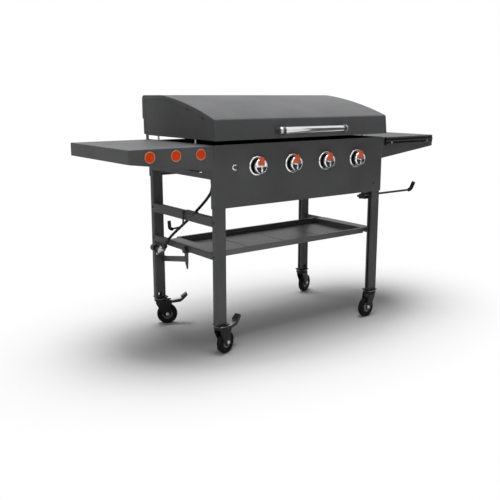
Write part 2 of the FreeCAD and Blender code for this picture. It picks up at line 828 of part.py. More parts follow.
def gas_manifold():
    """Straight gas pipe behind the panel, with the hose's elbow fitting at its left end."""
    x0 = hose_points()[0].x
    x1 = knob_xs[-1] + manifold_overrun
    pipe_run = rod(manifold_radius, V(x0, manifold_y, manifold_z), V(x1, manifold_y, manifold_z))
    elbow = rod(manifold_radius + 2, V(x0, manifold_y, manifold_z - manifold_radius - 3),
                V(x0, manifold_y, manifold_z + manifold_radius + 3))
    start = hose_points()[0]
    drop = rod(fitting_radius, V(x0, manifold_y, manifold_z), V(x0, manifold_y, start.z))
    nut = rod(fitting_radius + 2, V(x0, manifold_y, start.z), V(x0, manifold_y, start.z + fitting_length / 3))
    return fuse([pipe_run, elbow, drop, nut])


def burner_tubes():
    """Four closed burner tubes with a ribbon port along each side, held at the rear panel."""
    shapes = []
    for x in knob_xs:
        outer = rod(burner_radius, V(x, burner_front, burner_z), V(x, burner_rear, burner_z))
        inner = rod(burner_radius - burner_wall, V(x, burner_front + burner_wall, burner_z),
                    V(x, burner_rear - burner_wall, burner_z))
        ports = box(x - 2 * burner_radius, x + 2 * burner_radius, burner_front + burner_port_margin,
                    burner_rear - burner_port_margin, burner_z + 4, burner_z + 4 + burner_port_height)
        tail = box(x - 10, x + 10, burner_rear - burner_wall, frame_depth, burner_z - 1.5, burner_z + 1.5)
        mouth = rod(orifice_radius + pin_clearance, V(x, burner_front - 3, burner_z), V(x, burner_front + 3, burner_z))
        shapes.append(fuse([outer.cut(inner).cut(ports), tail]).cut(mouth))
    return Part.makeCompound(shapes)


def hose_points():
    """Route of the gas hose, chosen by hand from the manifold's fitting to the regulator."""
    return [V(hose_x, manifold_y, hose_top), V(hose_x, manifold_y, 696), V(-438, 88, 655), V(-439, 250, 538),
            V(-462, 337, 468), V(-484, 366, 428), regulator_barb_end()]


def regulator_centre():
    """Middle of the regulator's flange."""
    return V(regulator_x, regulator_y, regulator_z)


def regulator_barb_end():
    """Open end of the regulator's outlet, where the hose begins."""
    heading = (V(-484, 366, 428) - regulator_centre()).normalize()
    return regulator_centre() + heading * (regulator_radius + regulator_barb_length - 6)


def gas_hose():
    """Rubber hose: straight runs joined by tangent arcs."""
    points = hose_points()

    def radius_at(i, half_turn):
        shorter = min((points[i] - points[i - 1]).Length, (points[i + 1] - points[i]).Length)
        radius = 0.45 * shorter / math.tan(half_turn)
        print("hose arc", i, "radius", round(radius, 1), "mm")
        return radius
    path = bent_path(points, radius_at)
    tube = pipe(path, hose_radius)
    print("hose length", round(path.Length, 1), "volume ratio",
          round(tube.Volume / (math.pi * hose_radius ** 2 * path.Length), 4))
    return tube


def regulator():
    """Domed regulator with its clamped flange, inlet tube and hose outlet."""
    half_flange = regulator_flange / 2
    top = half_flange + regulator_dome_height
    axis = V(-0.52, 0.3, 0.8).normalize()
    outline = [(0, -top + 4), (regulator_dome_radius - 8, -top + 4), (regulator_dome_radius, -half_flange),
               (regulator_radius, -half_flange), (regulator_radius, half_flange),
               (regulator_dome_radius, half_flange), (regulator_dome_radius - 12, top), (0, top)]
    centre = regulator_centre()
    body = lathe(outline, centre, axis)
    inlet = rod(regulator_inlet_radius, centre, centre + Y_AXIS * regulator_inlet_length)
    stop = rod(regulator_inlet_radius + 3, centre + Y_AXIS * (regulator_inlet_length - 4),
               centre + Y_AXIS * regulator_inlet_length)
    nose = rod(5, centre, centre + Y_AXIS * (regulator_inlet_length + regulator_nose_length))
    barb = rod(hose_radius + 1.5, centre, regulator_barb_end())
    return fuse([body, inlet, stop, nose, barb])


def regulator_nut():
    """Ribbed hand nut that spins on the regulator's inlet, behind its collar."""
    start = regulator_centre() + Y_AXIS * (regulator_inlet_length - 8)
    outer = rod(nut_radius, start, start + Y_AXIS * nut_length)
    for i in range(nut_ribs):
        angle = 2 * math.pi * i / nut_ribs
        offset = V(math.cos(angle), 0, math.sin(angle)) * (nut_radius + 1.2)
        outer = outer.cut(rod(3, start + offset - Y_AXIS, start + offset + Y_AXIS * (nut_length + 1)))
    bore = rod(regulator_inlet_radius + pin_clearance, start - Y_AXIS, start + Y_AXIS * 4)
    cavity = rod(regulator_inlet_radius + 3.5, start + Y_AXIS * 3.7, start + Y_AXIS * (nut_length + 1))
    return outer.cut(bore).cut(cavity)


# Shelves and what they carry
def shelf():
    """Right shelf: folded top, an outer apron, aprons that deepen inwards and a raised inner strip."""
    x_in = half_width + shelf_gap
    x_out = half_width + shelf_length
    low_out = shelf_top - shelf_outer_height
    low_in = shelf_top - shelf_inner_height
    front = polygon([V(x_in, 0, shelf_top), V(x_out, 0, shelf_top), V(x_out, 0, low_out),
                     V(x_in, 0, low_in)]).extrude(V(0, shelf_depth, 0))
    front = round_edges(front, shelf_edge_radius,
                        lambda e: is_vertical(e) and abs(e.Vertexes[0].X - x_out) < 0.01)
    front = round_edges(front, shelf_edge_radius,
                        lambda e: abs(e.BoundBox.ZMin - shelf_top) < 0.01
                        and abs(e.BoundBox.XMax - e.BoundBox.XMin + e.BoundBox.YMax - e.BoundBox.YMin) > 2
                        and e.BoundBox.XMax > x_in + 1)
    hollow = polygon([V(x_in - 5, sheet, shelf_top - sheet), V(x_out - sheet, sheet, shelf_top - sheet),
                      V(x_out - sheet, sheet, low_in - 5),
                      V(x_in - 5, sheet, low_in - 5)]).extrude(V(0, shelf_depth - 2 * sheet, 0))
    shell = front.cut(hollow)
    top_strip = box(side_outer, x_in + shelf_strip, front_leg_rear + 2, shelf_depth, shelf_top, shelf_top + sheet)
    flange = box(side_outer, side_outer + sheet, front_leg_rear + 2, shelf_depth - sheet,
                 low_in + 6, shelf_top + sheet)
    hem = box(x_out - shelf_hem, x_out - sheet / 2, sheet / 2, shelf_depth - sheet / 2, low_out, low_out + sheet)
    return fuse([shell, top_strip, flange, hem])


def left_shelf():
    """Mirror of the right shelf, with the holes that the round caps close."""
    shape = mirrored(shelf())
    for i in range(cap_count):
        x = cap_first_x + cap_pitch * i
        shape = shape.cut(rod(cap_neck_radius, V(x, -1, cap_z), V(x, sheet + 1, cap_z)))
    return shape


def shelf_caps():
    """Three round snap-in caps on the left shelf's front apron, each with a sloping rim."""
    outline = [(0, -sheet - 3), (cap_neck_radius, -sheet - 3), (cap_neck_radius, 0), (cap_radius, 0),
               (cap_radius - 1.2, cap_wall), (0, cap_wall)]
    return Part.makeCompound([lathe(outline, V(cap_first_x + cap_pitch * i, 0, cap_z), V(0, -1, 0))
                              for i in range(cap_count)])


def tool_rail_span():
    """Left and right ends of the tool rail."""
    x1 = half_width + shelf_length - tool_rail_end_gap + 3
    return x1 - tool_rail_length, x1


def tool_rail_places():
    """Middles of the two screws that hold the tool rail."""
    x0, x1 = tool_rail_span()
    z = shelf_top - tool_rail_height * 0.68
    return [V(x0 + tool_rail_screw_inset, 0, z), V(x1 - tool_rail_screw_inset, 0, z)]


def tool_rail():
    """Long strip with two grooves between three ridges, rounded at its outer end."""
    x0, x1 = tool_rail_span()
    top = shelf_top
    low = top - tool_rail_height
    strip = box(x0, x1, -tool_rail_wall, 0, low, top)
    strip = round_edges(strip, tool_rail_end_radius,
                        lambda e: abs(e.BoundBox.XMin - x1) < 0.01 and e.BoundBox.YLength > 5
                        and e.BoundBox.ZLength < 0.01)
    for level in (0.3, 0.68):
        z = top - tool_rail_height * level
        strip = strip.cut(box(x0 + 10, x1 - 8, -tool_rail_wall - 1, -tool_rail_wall + tool_rail_groove_depth,
                              z - tool_rail_groove / 2, z + tool_rail_groove / 2))
    for place in tool_rail_places():
        strip = strip.cut(rod(screw_head_radius + 0.5, place - Y_AXIS * (tool_rail_wall + 1),
                              place - Y_AXIS * (tool_rail_wall - tool_rail_groove_depth)))
    return strip


def screw(place, outward):
    """Cheese-head screw whose head sits on a face."""
    return rod(screw_head_radius, place, place + outward * screw_head_height)


def bolt(place, outward):
    """Hexagon bolt head that sits on a face."""
    corners = [V(bolt_head_radius * math.cos(math.radians(60 * i)), bolt_head_radius * math.sin(math.radians(60 * i)), 0)
               for i in range(6)]
    head = polygon(corners).extrude(Z_AXIS * bolt_head_height)
    head.Placement = FreeCAD.Placement(place, FreeCAD.Rotation(Z_AXIS, outward))
    return head


def screws():
    """Screws on the tool rail and the panel, and bolt heads on the legs and the rear panel."""
    front = V(0, -1, 0)
    shapes = []
    for place in tool_rail_places():
        seat = V(place.x, -tool_rail_wall + tool_rail_groove_depth, place.z)
        shapes.append(screw(seat, front))
    shapes.append(screw(V(half_width - panel_screw_inset, 0, panel_bottom + panel_screw_rise), front))
    for side in (-1, 1):
        heights = [lower_rail_top - lower_rail_height / 2]
        if side < 0:
            heights.append(upper_rail_top - upper_rail_height / 2)
        for y in (front_leg_front + leg_depth / 2, rear_leg_front + leg_depth / 2):
            for z in heights:
                shapes.append(bolt(V(side * leg_outer, y, z), X_AXIS * side))
        for x in (half_width - rear_bolt_inset, half_width - rear_bolt_inset - rear_bolt_pitch):
            shapes.append(bolt(V(side * x, frame_depth + sheet, rear_panel_bottom + rear_bolt_rise), Y_AXIS))
    return Part.makeCompound(shapes)


# Tank bracket, hook and bar
def tank_bracket():
    """Flat hanger on the left lower rail with a pointed foot and a strut back to the rear leg."""
    x1 = -leg_outer
    x0 = x1 - tank_bar_wall
    y0 = tank_bar_y - tank_bar_width / 2
    y1 = tank_bar_y + tank_bar_width / 2
    top = lower_rail_top - rail_corner
    blade = polygon([V(x0, y0, top), V(x0, y1, top), V(x0, y1, tank_strut_top - 22), V(x0, y0 + 10, tank_bar_tip),
                     V(x0, y0 + 4, tank_bar_tip), V(x0, y0, tank_strut_top - 16)])
    blade = blade.extrude(V(tank_bar_wall, 0, 0))
    hook = box(x0, x1 + rail_width * 0.6, y0, y1, lower_rail_top - lower_rail_height - tank_bar_wall,
               lower_rail_top - lower_rail_height)
    strut_end = V(tank_strut_x, rear_leg_front, tank_strut_bottom)
    strut_start = V(x0, tank_bar_y, tank_strut_top)
    strut = polygon([strut_start, strut_start - Z_AXIS * tank_bar_width,
                     strut_end - Z_AXIS * tank_bar_width + Z_AXIS * 24, strut_end + Z_AXIS * 24])
    strut = strut.extrude(V(tank_bar_wall, 0, 0))
    foot = box(tank_strut_x, tank_strut_x + 18, rear_leg_front - tank_bar_wall, rear_leg_front,
               tank_strut_bottom - 1, tank_strut_bottom + 24)
    shape = fuse([blade, hook, strut, foot])
    hole = rod(3.5, V(x0 - 1, tank_bar_y, clamp_knob_z), V(x1, tank_bar_y, clamp_knob_z))
    return shape.cut(hole)


def lobed_knob(radius, length, lobes):
    """Hand knob with finger hollows round it, along +X from the origin."""
    body = soft_rod(radius, V(0, 0, 0), V(length, 0, 0), 2.0)
    for i in range(lobes):
        angle = 2 * math.pi * i / lobes
        centre = V(-1, math.cos(angle) * radius * 1.18, math.sin(angle) * radius * 1.18)
        body = body.cut(rod(radius * 0.34, centre, centre + V(length + 2, 0, 0)))
    return body


def tank_clamp_knob():
    """Knob outside the hanger whose stud goes through it to the rail."""
    body = lobed_knob(clamp_knob_radius, clamp_knob_length, clamp_lobes)
    stud = rod(3.45, V(-tank_bar_wall - 0.1, 0, 0), V(1, 0, 0))
    shape = fuse([body, stud])
    shape.rotate(V(0, 0, 0), Z_AXIS, 180)
    shape.translate(V(-leg_outer - tank_bar_wall - 0.3, tank_bar_y, clamp_knob_z))
    return shape


def hook_path():
    """Bent rod of the left hook: down the rail's outer side, out and up."""
    x0 = -leg_outer - hook_saddle_wall - hook_radius + hook_weld
    x1 = x0 - hook_reach
    return [V(x0, hook_y, upper_rail_top - 2), V(x0, hook_y, hook_low + 6), V(x1, hook_y, hook_low),
            V(x1 - 2, hook_y, hook_low + hook_tip_height)]


def left_hook():
    """Saddle over the left upper rail with a bent rod welded to it."""
    top = upper_rail_top
    x1 = -leg_outer + rail_width
    wall = hook_saddle_wall
    outer = box(-leg_outer - wall, x1 + wall, hook_y - hook_saddle_length, hook_y + 6,
                top - hook_saddle_drop, top + wall)
    inner = box(-leg_outer, x1, hook_y - hook_saddle_length - 1, hook_y + 7, top - hook_saddle_drop - 1, top)
    path = bent_path(hook_path(), lambda i, half_turn: hook_bend)
    return fuse([outer.cut(inner), pipe(path, hook_radius)])


def bar_start():
    """Place where the right bar leaves its clamp."""
    return V(leg_outer + clamp_clearance + clamp_wall, bar_y, bar_z)


def bar_path():
    """Bent rod of the right bar: straight out and up at its end."""
    start = bar_start()
    end = start + X_AXIS * bar_length
    return [start - X_AXIS, end, end + V(bar_tip_height * 0.62, 0, bar_tip_height)]


def right_bar():
    """Folded clamp round the right front leg, below the panel, and the bar that it carries."""
    y0 = bar_y - 12
    y1 = front_leg_rear + clamp_clearance + clamp_wall
    x1 = leg_outer + clamp_clearance + clamp_wall
    x0 = leg_inner - clamp_inner_reach
    top = panel_bottom - clamp_gap
    low = top - clamp_height
    web = box(x0, x1, y1 - clamp_wall, y1, low, top)
    outer_lug = box(x1 - clamp_wall, x1, y0, y1, low, top)
    inner_lug = box(x0, x0 + clamp_wall, y0, y1, low, top)
    upper = box(x0, leg_inner - 2, y0, y1, top - clamp_wall, top)
    lower = box(x0, leg_inner - 2, y0, y1, low, low + clamp_wall)
    path = bent_path(bar_path(), lambda i, half_turn: bar_bend)
    shape = fuse([web, outer_lug, inner_lug, upper, lower, pipe(path, bar_radius)])
    centre_z = (top + low) / 2
    hole = rod(4.0 + pin_clearance, V(x0 - 1, bar_y, centre_z), V(x0 + clamp_wall + 1, bar_y, centre_z))
    return shape.cut(hole)


def right_bar_screw():
    """Wing screw that presses the clamp against the leg's lips."""
    x0 = leg_inner - clamp_inner_reach
    z = panel_bottom - clamp_gap - clamp_height / 2
    shank = rod(4.0, V(x0 - wing_length, bar_y, z), V(leg_inner - 0.3, bar_y, z))
    boss = rod(8.0, V(x0 - wing_length, bar_y, z), V(x0 - 0.3, bar_y, z))
    wings = box(x0 - wing_length, x0 - 2, bar_y - wing_wall / 2, bar_y + wing_wall / 2,
                z - wing_span / 2, z + wing_span / 2)
    return fuse([shank, boss, wings])


def sleeve(path_points, radius, bend):
    """Soft tip round the last run of a bent rod, closed at its end."""
    last = path_points[-1]
    heading = (last - path_points[-2]).normalize()
    start = path_points[-2] + heading * (bend * 1.05)
    outer = rod(radius + tip_wall, start, last + heading * 2.5)
    return outer.cut(rod(radius + tip_clearance, start - heading, last + heading * 0.05))


def hook_tips():
    """Soft tips on the hook and on the bar."""
    return Part.makeCompound([sleeve(hook_path(), hook_radius, hook_bend), sleeve(bar_path(), bar_radius, bar_bend)])


# Casters
def caster_centre(name):
    """Swivel axis of a caster on the floor."""
    side, centre_y = leg_places[name]
    return V(side * (leg_outer - leg_width / 2 - caster_plate_shift), centre_y, 0)


def caster_plate(name):
    """Top plate under a leg with the upper race and the kingpin."""
    top = leg_bottom
    plate = box(-caster_plate_x / 2, caster_plate_x / 2, -caster_plate_y / 2, caster_plate_y / 2,
                top - caster_plate_wall, top)
    race_low = top - caster_plate_wall - race_height
    pin_low = race_low - race_gap - fork_crown_wall - seat_gap
    outline = [(0, pin_low - kingpin_head_height), (kingpin_head_radius, pin_low - kingpin_head_height),
               (kingpin_head_radius, pin_low), (kingpin_radius, pin_low), (kingpin_radius, race_low),
               (race_radius, race_low), (race_radius, top - caster_plate_wall), (0, top - caster_plate_wall)]
    shape = fuse([plate, lathe(outline, V(0, 0, 0), Z_AXIS)])
    shape.translate(caster_centre(name))
    return shape


def crown_top():
    """Height of the fork's upper face."""
    return leg_bottom - caster_plate_wall - race_height - race_gap


def turned_to_pose(shape, name):
    """Turn a caster piece, drawn trailing along +X, to its stored heading and place."""
    shape.rotate(V(0, 0, 0), Z_AXIS, swivel_angles[name])
    shape.translate(caster_centre(name))
    return shape


def fork_arm(braked):
    """One pressed side of the fork, as a solid in the plane of the wheel."""
    top = crown_top()
    hub = V(caster_trail, 0, wheel_radius)
    front = V(-fork_crown_radius * 0.72, 0, top)
    rear = V(fork_crown_radius * 0.9, 0, top)
    points = [front, rear, V(hub.x + fork_foot_radius, 0, hub.z), V(hub.x - fork_foot_radius, 0, hub.z),
              V(-fork_crown_radius * 0.72, 0, top - 16)]
    if braked:
        ear_x = pedal_pivot_t + 6
        points = [front, V(ear_x, 0, top), V(ear_x, 0, pedal_pivot_z - 6), V(rear.x + 6, 0, pedal_pivot_z - 14),
                  V(hub.x + fork_foot_radius, 0, hub.z), V(hub.x - fork_foot_radius, 0, hub.z),
                  V(-fork_crown_radius * 0.72, 0, top - 16)]
    plate = polygon(points).extrude(V(0, fork_wall, 0))
    foot = rod(fork_foot_radius, hub, hub + V(0, fork_wall, 0))
    return fuse([plate, foot])


def caster_fork(name):
    """Pressed fork with its swivel crown, and the axle rivet through its arms."""
    braked = name.endswith("left")
    arm = fork_arm(braked)
    outer_arm = arm.copy()
    outer_arm.translate(V(0, fork_inner_gap, 0))
    inner_arm = arm.copy()
    inner_arm.translate(V(0, -fork_inner_gap - fork_wall, 0))
    top = crown_top()
    crown = rod(fork_crown_radius, V(0, 0, top - fork_crown_wall), V(0, 0, top))
    shapes = [outer_arm, inner_arm, crown]
    if braked:
        pin = V(pedal_pivot_t, 0, pedal_pivot_z)
        shapes.append(rod(pedal_pin_radius, pin - Y_AXIS * (fork_inner_gap + fork_wall),
                          pin + Y_AXIS * (fork_inner_gap + fork_wall)))
    fork = fuse(shapes)
    hub = V(caster_trail, 0, wheel_radius)
    half = fork_inner_gap + fork_wall
    fork = fork.cut(rod(axle_radius, hub - Y_AXIS * (half + 1), hub + Y_AXIS * (half + 1)))
    fork = fork.cut(rod(kingpin_radius + pin_clearance, V(0, 0, top - 10), V(0, 0, top + 10)))
    rivet = rod(axle_radius, hub - Y_AXIS * (half + rivet_reach), hub + Y_AXIS * (half + rivet_reach))
    return turned_to_pose(Part.makeCompound([fork, rivet]), name)


def caster_hub(name):
    """Moulded wheel centre: boss, thin web and rim."""
    boss = hub_boss_width / 2
    rim = wheel_width / 2 - 2
    web = hub_web_width / 2
    bore = axle_radius + pin_clearance
    inner_rim = hub_radius - hub_rim_wall
    side = [(bore, boss), (hub_boss_radius, boss), (hub_boss_radius + 2, web), (inner_rim - 1, web),
            (inner_rim, rim), (hub_radius, rim)]
    outline = side + [(radius, -along) for radius, along in reversed(side)]
    return turned_to_pose(lathe(outline, V(caster_trail, 0, wheel_radius), Y_AXIS), name)


def caster_tyre(name):
    """Rubber tyre with a flat tread and bevelled shoulders."""
    half = wheel_width / 2
    side = [(hub_radius, half - 1.2), (wheel_radius - tyre_shoulder, half), (wheel_radius, half - tyre_shoulder)]
    outline = side + [(radius, -along) for radius, along in reversed(side)]
    return turned_to_pose(lathe(outline, V(caster_trail, 0, wheel_radius), Y_AXIS), name)


def brake_pedal(name):
    """Stamped pedal on its pin between the fork's ears, with a shoe over the tyre."""
    half = fork_inner_gap - 0.6
    pivot = V(pedal_pivot_t, 0, pedal_pivot_z)
    boss = rod(pedal_boss_radius, pivot - Y_AXIS * half, pivot + Y_AXIS * half)
    reach = V(pedal_reach, 0, pedal_tip_z)
    blade = polygon([V(pivot.x, -half, 0), V(reach.x - 24, -half, 0), V(reach.x - 20, -pedal_pad_width / 2, 0),
                     V(reach.x, -pedal_pad_width / 2, 0), V(reach.x, pedal_pad_width / 2, 0),
                     V(reach.x - 20, pedal_pad_width / 2, 0), V(reach.x - 24, half, 0), V(pivot.x, half, 0)])
    blade = blade.extrude(V(0, 0, pedal_wall))
    blade.translate(V(0, 0, pivot.z))
    slope = math.degrees(math.atan2(pedal_tip_z - pedal_pivot_z, pedal_reach - pedal_pivot_t))
    blade.rotate(pivot, Y_AXIS, -slope)
    pad = box(reach.x - 16, reach.x, -pedal_pad_width / 2, pedal_pad_width / 2,
              pivot.z + pedal_wall, pivot.z + pedal_wall + 4)
    pad = round_edges(pad, 1.8, lambda e: e.BoundBox.YLength > pedal_pad_width - 0.1)
    pad.rotate(pivot, Y_AXIS, -slope)
    shoe = polygon([V(pivot.x - pedal_boss_radius, -half, pivot.z), V(pivot.x + pedal_boss_radius, -half, pivot.z),
                    V(pivot.x + shoe_width / 2, -half, pivot.z - shoe_drop),
                    V(pivot.x - shoe_width / 2, -half, pivot.z - shoe_drop)]).extrude(V(0, 2 * half, 0))
    pedal = fuse([boss, blade, pad, shoe])
    bore = rod(pedal_pin_radius + pin_clearance, pivot - Y_AXIS * (half + 1), pivot + Y_AXIS * (half + 1))
    return turned_to_pose(pedal.cut(bore), name)


def export(node, shape):
    """Write one node, moved so that the station's middle is over the origin."""
    shape = shape.copy()
    shape.translate(V(0, -depth_middle, 0))
    if not shape.isValid():
        print("not valid:", node)
    shape.exportStep(os.path.join("parts", node + ".step"))


def build():
    """Make and write every node."""
    os.makedirs("parts", exist_ok=True)
    right_side = box_side()
    export("control_panel", control_panel())
    export("box_side_left", mirrored(right_side))
    export("box_side_right", right_side)
    export("box_rear_panel", box_rear_panel())
    export("griddle_plate", griddle_plate())
    export("plate_rims", plate_rims())
    export("grease_cup", grease_cup())
    export("hood_shell", hood_shell())
    export("hood_handle_bar", hood_handle_bar())
    export("hood_handle_brackets", hood_handle_brackets())
    export("hood_hinge_brackets", hood_hinge_brackets())
    export("hood_rest_posts", hood_rest_posts())
    export("control_bezels", control_bezels())
    export("igniter_button", igniter_button())
    export("gas_valves", gas_valves())
    export("gas_manifold", gas_manifold())
    export("burner_tubes", burner_tubes())
    export("gas_hose", gas_hose())
    export("regulator", regulator())
    export("regulator_nut", regulator_nut())
    for i, x in enumerate(knob_xs):
        export("valve_stem_%d" % (i + 1), valve_stem(x))
        export("knob_%d" % (i + 1), knob(x))
    export("left_shelf", left_shelf())
    export("right_shelf", shelf())
    export("shelf_caps", shelf_caps())
    export("tool_rail", tool_rail())
    export("screws", screws())
    export("side_rails", side_rails())
    export("lower_tray", lower_tray())
    export("tank_bracket", tank_bracket())
    export("tank_clamp_knob", tank_clamp_knob())
    export("left_hook", left_hook())
    export("right_bar", right_bar())
    export("right_bar_screw", right_bar_screw())
    export("hook_tips", hook_tips())
    export("caster_plates", Part.makeCompound([caster_plate(name) for name in leg_places]))
    for name in leg_places:
        export("leg_" + name, leg(name))
        export("caster_fork_" + name, caster_fork(name))
        export("caster_hub_" + name, caster_hub(name))
        export("caster_tyre_" + name, caster_tyre(name))
        if name.endswith("left"):
            export("brake_pedal_" + name, brake_pedal(name))


build()
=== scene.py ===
"""Outdoor gas griddle station: the looks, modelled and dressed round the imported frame.

Lengths in the classes are millimetres measured as on the drawing: X from the middle, Y back from
the control panel's face, Z up from the floor. Bench.at turns them into the frame's metres.
The studio's own lengths are metres.
A profile is a run of pairs: a radius, and a distance along the axis that the profile turns on.
"""
import logging
import math
from dataclasses import dataclass, field
from enum import Enum
from typing import Callable, Iterable, Optional, Sequence, Union

import bpy
from mathutils import Matrix, Vector


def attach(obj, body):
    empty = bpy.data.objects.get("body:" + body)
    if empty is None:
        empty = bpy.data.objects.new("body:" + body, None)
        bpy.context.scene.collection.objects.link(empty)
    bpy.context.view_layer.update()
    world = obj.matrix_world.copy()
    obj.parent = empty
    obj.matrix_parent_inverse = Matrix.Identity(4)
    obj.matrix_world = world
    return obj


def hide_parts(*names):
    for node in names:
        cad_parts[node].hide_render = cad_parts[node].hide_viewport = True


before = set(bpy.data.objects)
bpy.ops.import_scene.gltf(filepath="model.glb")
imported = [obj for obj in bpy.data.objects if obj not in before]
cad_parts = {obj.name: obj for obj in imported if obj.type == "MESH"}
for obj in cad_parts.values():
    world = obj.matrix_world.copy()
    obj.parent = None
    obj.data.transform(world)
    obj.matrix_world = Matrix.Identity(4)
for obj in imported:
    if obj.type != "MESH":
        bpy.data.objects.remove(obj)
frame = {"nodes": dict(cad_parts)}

LOG = logging.getLogger("griddle_station")
MM = 0.001
DEPTH_MIDDLE = 256.8
MERGE_DISTANCE = 1e-6
POINT_RADIUS = 0.05
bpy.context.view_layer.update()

ORIGIN = Vector((0, 0, 0))
RIGHT = Vector((1, 0, 0))
LEFT = Vector((-1, 0, 0))
FRONT = Vector((0, -1, 0))
BACK = Vector((0, 1, 0))
UP = Vector((0, 0, 1))

Pair = tuple[float, float]
Triple = tuple[float, float, float]
Profile = tuple[Pair, ...]
Piece = bpy.types.Object
Socket = bpy.types.NodeSocket


class Bench:
    """Modelling bench: short names for Blender's own operators."""

    @staticmethod
    def at(x: float, y: float, z: float) -> Vector:
        """Frame position in metres of a drawing position in millimetres."""
        return Vector((x, y - DEPTH_MIDDLE, z)) * MM

    @staticmethod
    def mm(x: float, y: float, z: float) -> Vector:
        """Vector in metres whose parts are given in millimetres."""
        return Vector((x, y, z)) * MM

    @staticmethod
    def upright(points: Iterable[Pair], y: float, start: Vector = ORIGIN) -> list[Vector]:
        """Stand an outline up across the depth.

        Args:
            points: Width and height pairs of the outline, in millimetres.
            y: Depth at which it stands, in millimetres.
            start: Frame position that all of it is measured from.

        Returns:
            Its frame positions in metres.
        """
        return [start + Bench.mm(x, y, z) for x, z in points]

    @staticmethod
    def clear() -> None:
        """Leave edit mode and deselect everything."""
        if bpy.context.object and bpy.context.object.mode != "OBJECT":
            bpy.ops.object.mode_set(mode="OBJECT")
        bpy.ops.object.select_all(action="DESELECT")

    @staticmethod
    def pick(piece: Piece) -> None:
        """Make one object the only selected and active one."""
        Bench.clear()
        piece.select_set(True)
        bpy.context.view_layer.objects.active = piece

    @staticmethod
    def open_mesh(kind: str = "") -> None:
        """Start to edit the active piece with all of it selected.

        Args:
            kind: Select mode to change to, or nothing to keep the present one.
        """
        bpy.ops.object.mode_set(mode="EDIT")
        if kind:
            bpy.ops.mesh.select_mode(type=kind)
        bpy.ops.mesh.select_all(action="SELECT")

    @staticmethod
    def close_mesh() -> None:
        """Turn all faces outwards and leave edit mode."""
        bpy.ops.mesh.select_all(action="SELECT")
        bpy.ops.mesh.normals_make_consistent(inside=False)
        bpy.ops.object.mode_set(mode="OBJECT")

    @staticmethod
    def drop_faces(piece: Piece, test: Callable[[bpy.types.MeshPolygon], bool]) -> None:
        """Delete the faces that pass a test.

        Args:
            piece: Object that loses faces.
            test: Says of each face whether it goes.
        """
        Bench.pick(piece)
        bpy.context.tool_settings.mesh_select_mode = (False, False, True)
        bpy.ops.object.mode_set(mode="EDIT")
        bpy.ops.mesh.select_all(action="DESELECT")
        bpy.ops.object.mode_set(mode="OBJECT")
        for face in piece.data.polygons:
            face.select = test(face)
        bpy.ops.object.mode_set(mode="EDIT")
        bpy.ops.mesh.delete(type="FACE")
        Bench.clear()

    @staticmethod
    def label(piece: Piece, name: str) -> Piece:
        """Name a piece and its mesh alike."""
        piece.name = piece.data.name = name
        return piece

    @staticmethod
    def settle(piece: Piece, name: str) -> Piece:
        """Name a piece and put its place into its mesh.

        Args:
            piece: The object that was just modelled.
            name: Its name in the scene.

        Returns:
            The same object, at the origin.
        """
        Bench.pick(piece)
        bpy.ops.object.transform_apply(location=True, rotation=True, scale=True)
        return Bench.label(piece, name)

    @staticmethod
    def block(name: str, low: Triple, high: Triple) -> Piece:
        """Cube stretched between two corners of the drawing.

        Args:
            name: Name of the piece.
            low: Lowest corner in millimetres.
            high: Highest corner in millimetres.

        Returns:
            The block.
        """
        a, b = Bench.at(*low), Bench.at(*high)
        Bench.clear()
        bpy.ops.mesh.primitive_cube_add(size=1.0, location=(a + b) / 2)
        cube = bpy.context.object
        cube.scale = b - a
        return Bench.settle(cube, name)

    @staticmethod
    def turned(name: str, profile: Sequence[Pair], start: Vector, heading: Vector, corners: int) -> Piece:
        """Turned piece, raised ring by ring from a disc by extruding and resizing its face.

        Args:
            name: Name of the piece.
            profile: Its profile, from the first end to the other.
            start: Frame position of distance zero.
            heading: Direction of the axis.
            corners: Corners of each ring.

        Returns:
            The closed piece.
        """
        axis = heading.normalized()
        radius, along = profile[0]
        Bench.clear()
        bpy.ops.mesh.primitive_circle_add(vertices=corners, radius=max(radius, POINT_RADIUS) * MM,
                                          fill_type="NGON", location=start + axis * along * MM,
                                          rotation=UP.rotation_difference(axis).to_euler())
        disc = bpy.context.object
        Bench.open_mesh("FACE")
        for next_radius, next_along in profile[1:]:
            bpy.ops.mesh.extrude_region_move(
                TRANSFORM_OT_translate={"value": axis * (next_along - along) * MM})
            scale = max(next_radius, POINT_RADIUS) / max(radius, POINT_RADIUS)
            bpy.ops.transform.resize(value=(scale, scale, scale),
                                     center_override=start + axis * next_along * MM)
            radius, along = next_radius, next_along
        Bench.close_mesh()
        return Bench.settle(disc, name)

    @staticmethod
    def ring(name: str, profile: Sequence[Pair], start: Vector, heading: Vector, steps: int) -> Piece:
        """Hollow turned piece: a closed profile spun once round an axis.

        Args:
            name: Name of the piece.
            profile: Its closed profile.
            start: Frame position of distance zero.
            heading: Direction of the axis.
            steps: Steps of the spin.

        Returns:
            The closed piece.
        """
        axis = heading.normalized()
        side = axis.orthogonal().normalized()
        points = [start + side * radius * MM + axis * along * MM for radius, along in profile]
        piece = Bench.line(name, points + points[:1])
        Bench.open_mesh()
        bpy.ops.mesh.remove_doubles(threshold=MERGE_DISTANCE)
        bpy.ops.mesh.spin(steps=steps, angle=2 * math.pi, center=start, axis=axis)
        bpy.ops.mesh.select_all(action="SELECT")
        bpy.ops.mesh.remove_doubles(threshold=MERGE_DISTANCE)
        Bench.close_mesh()
        return piece

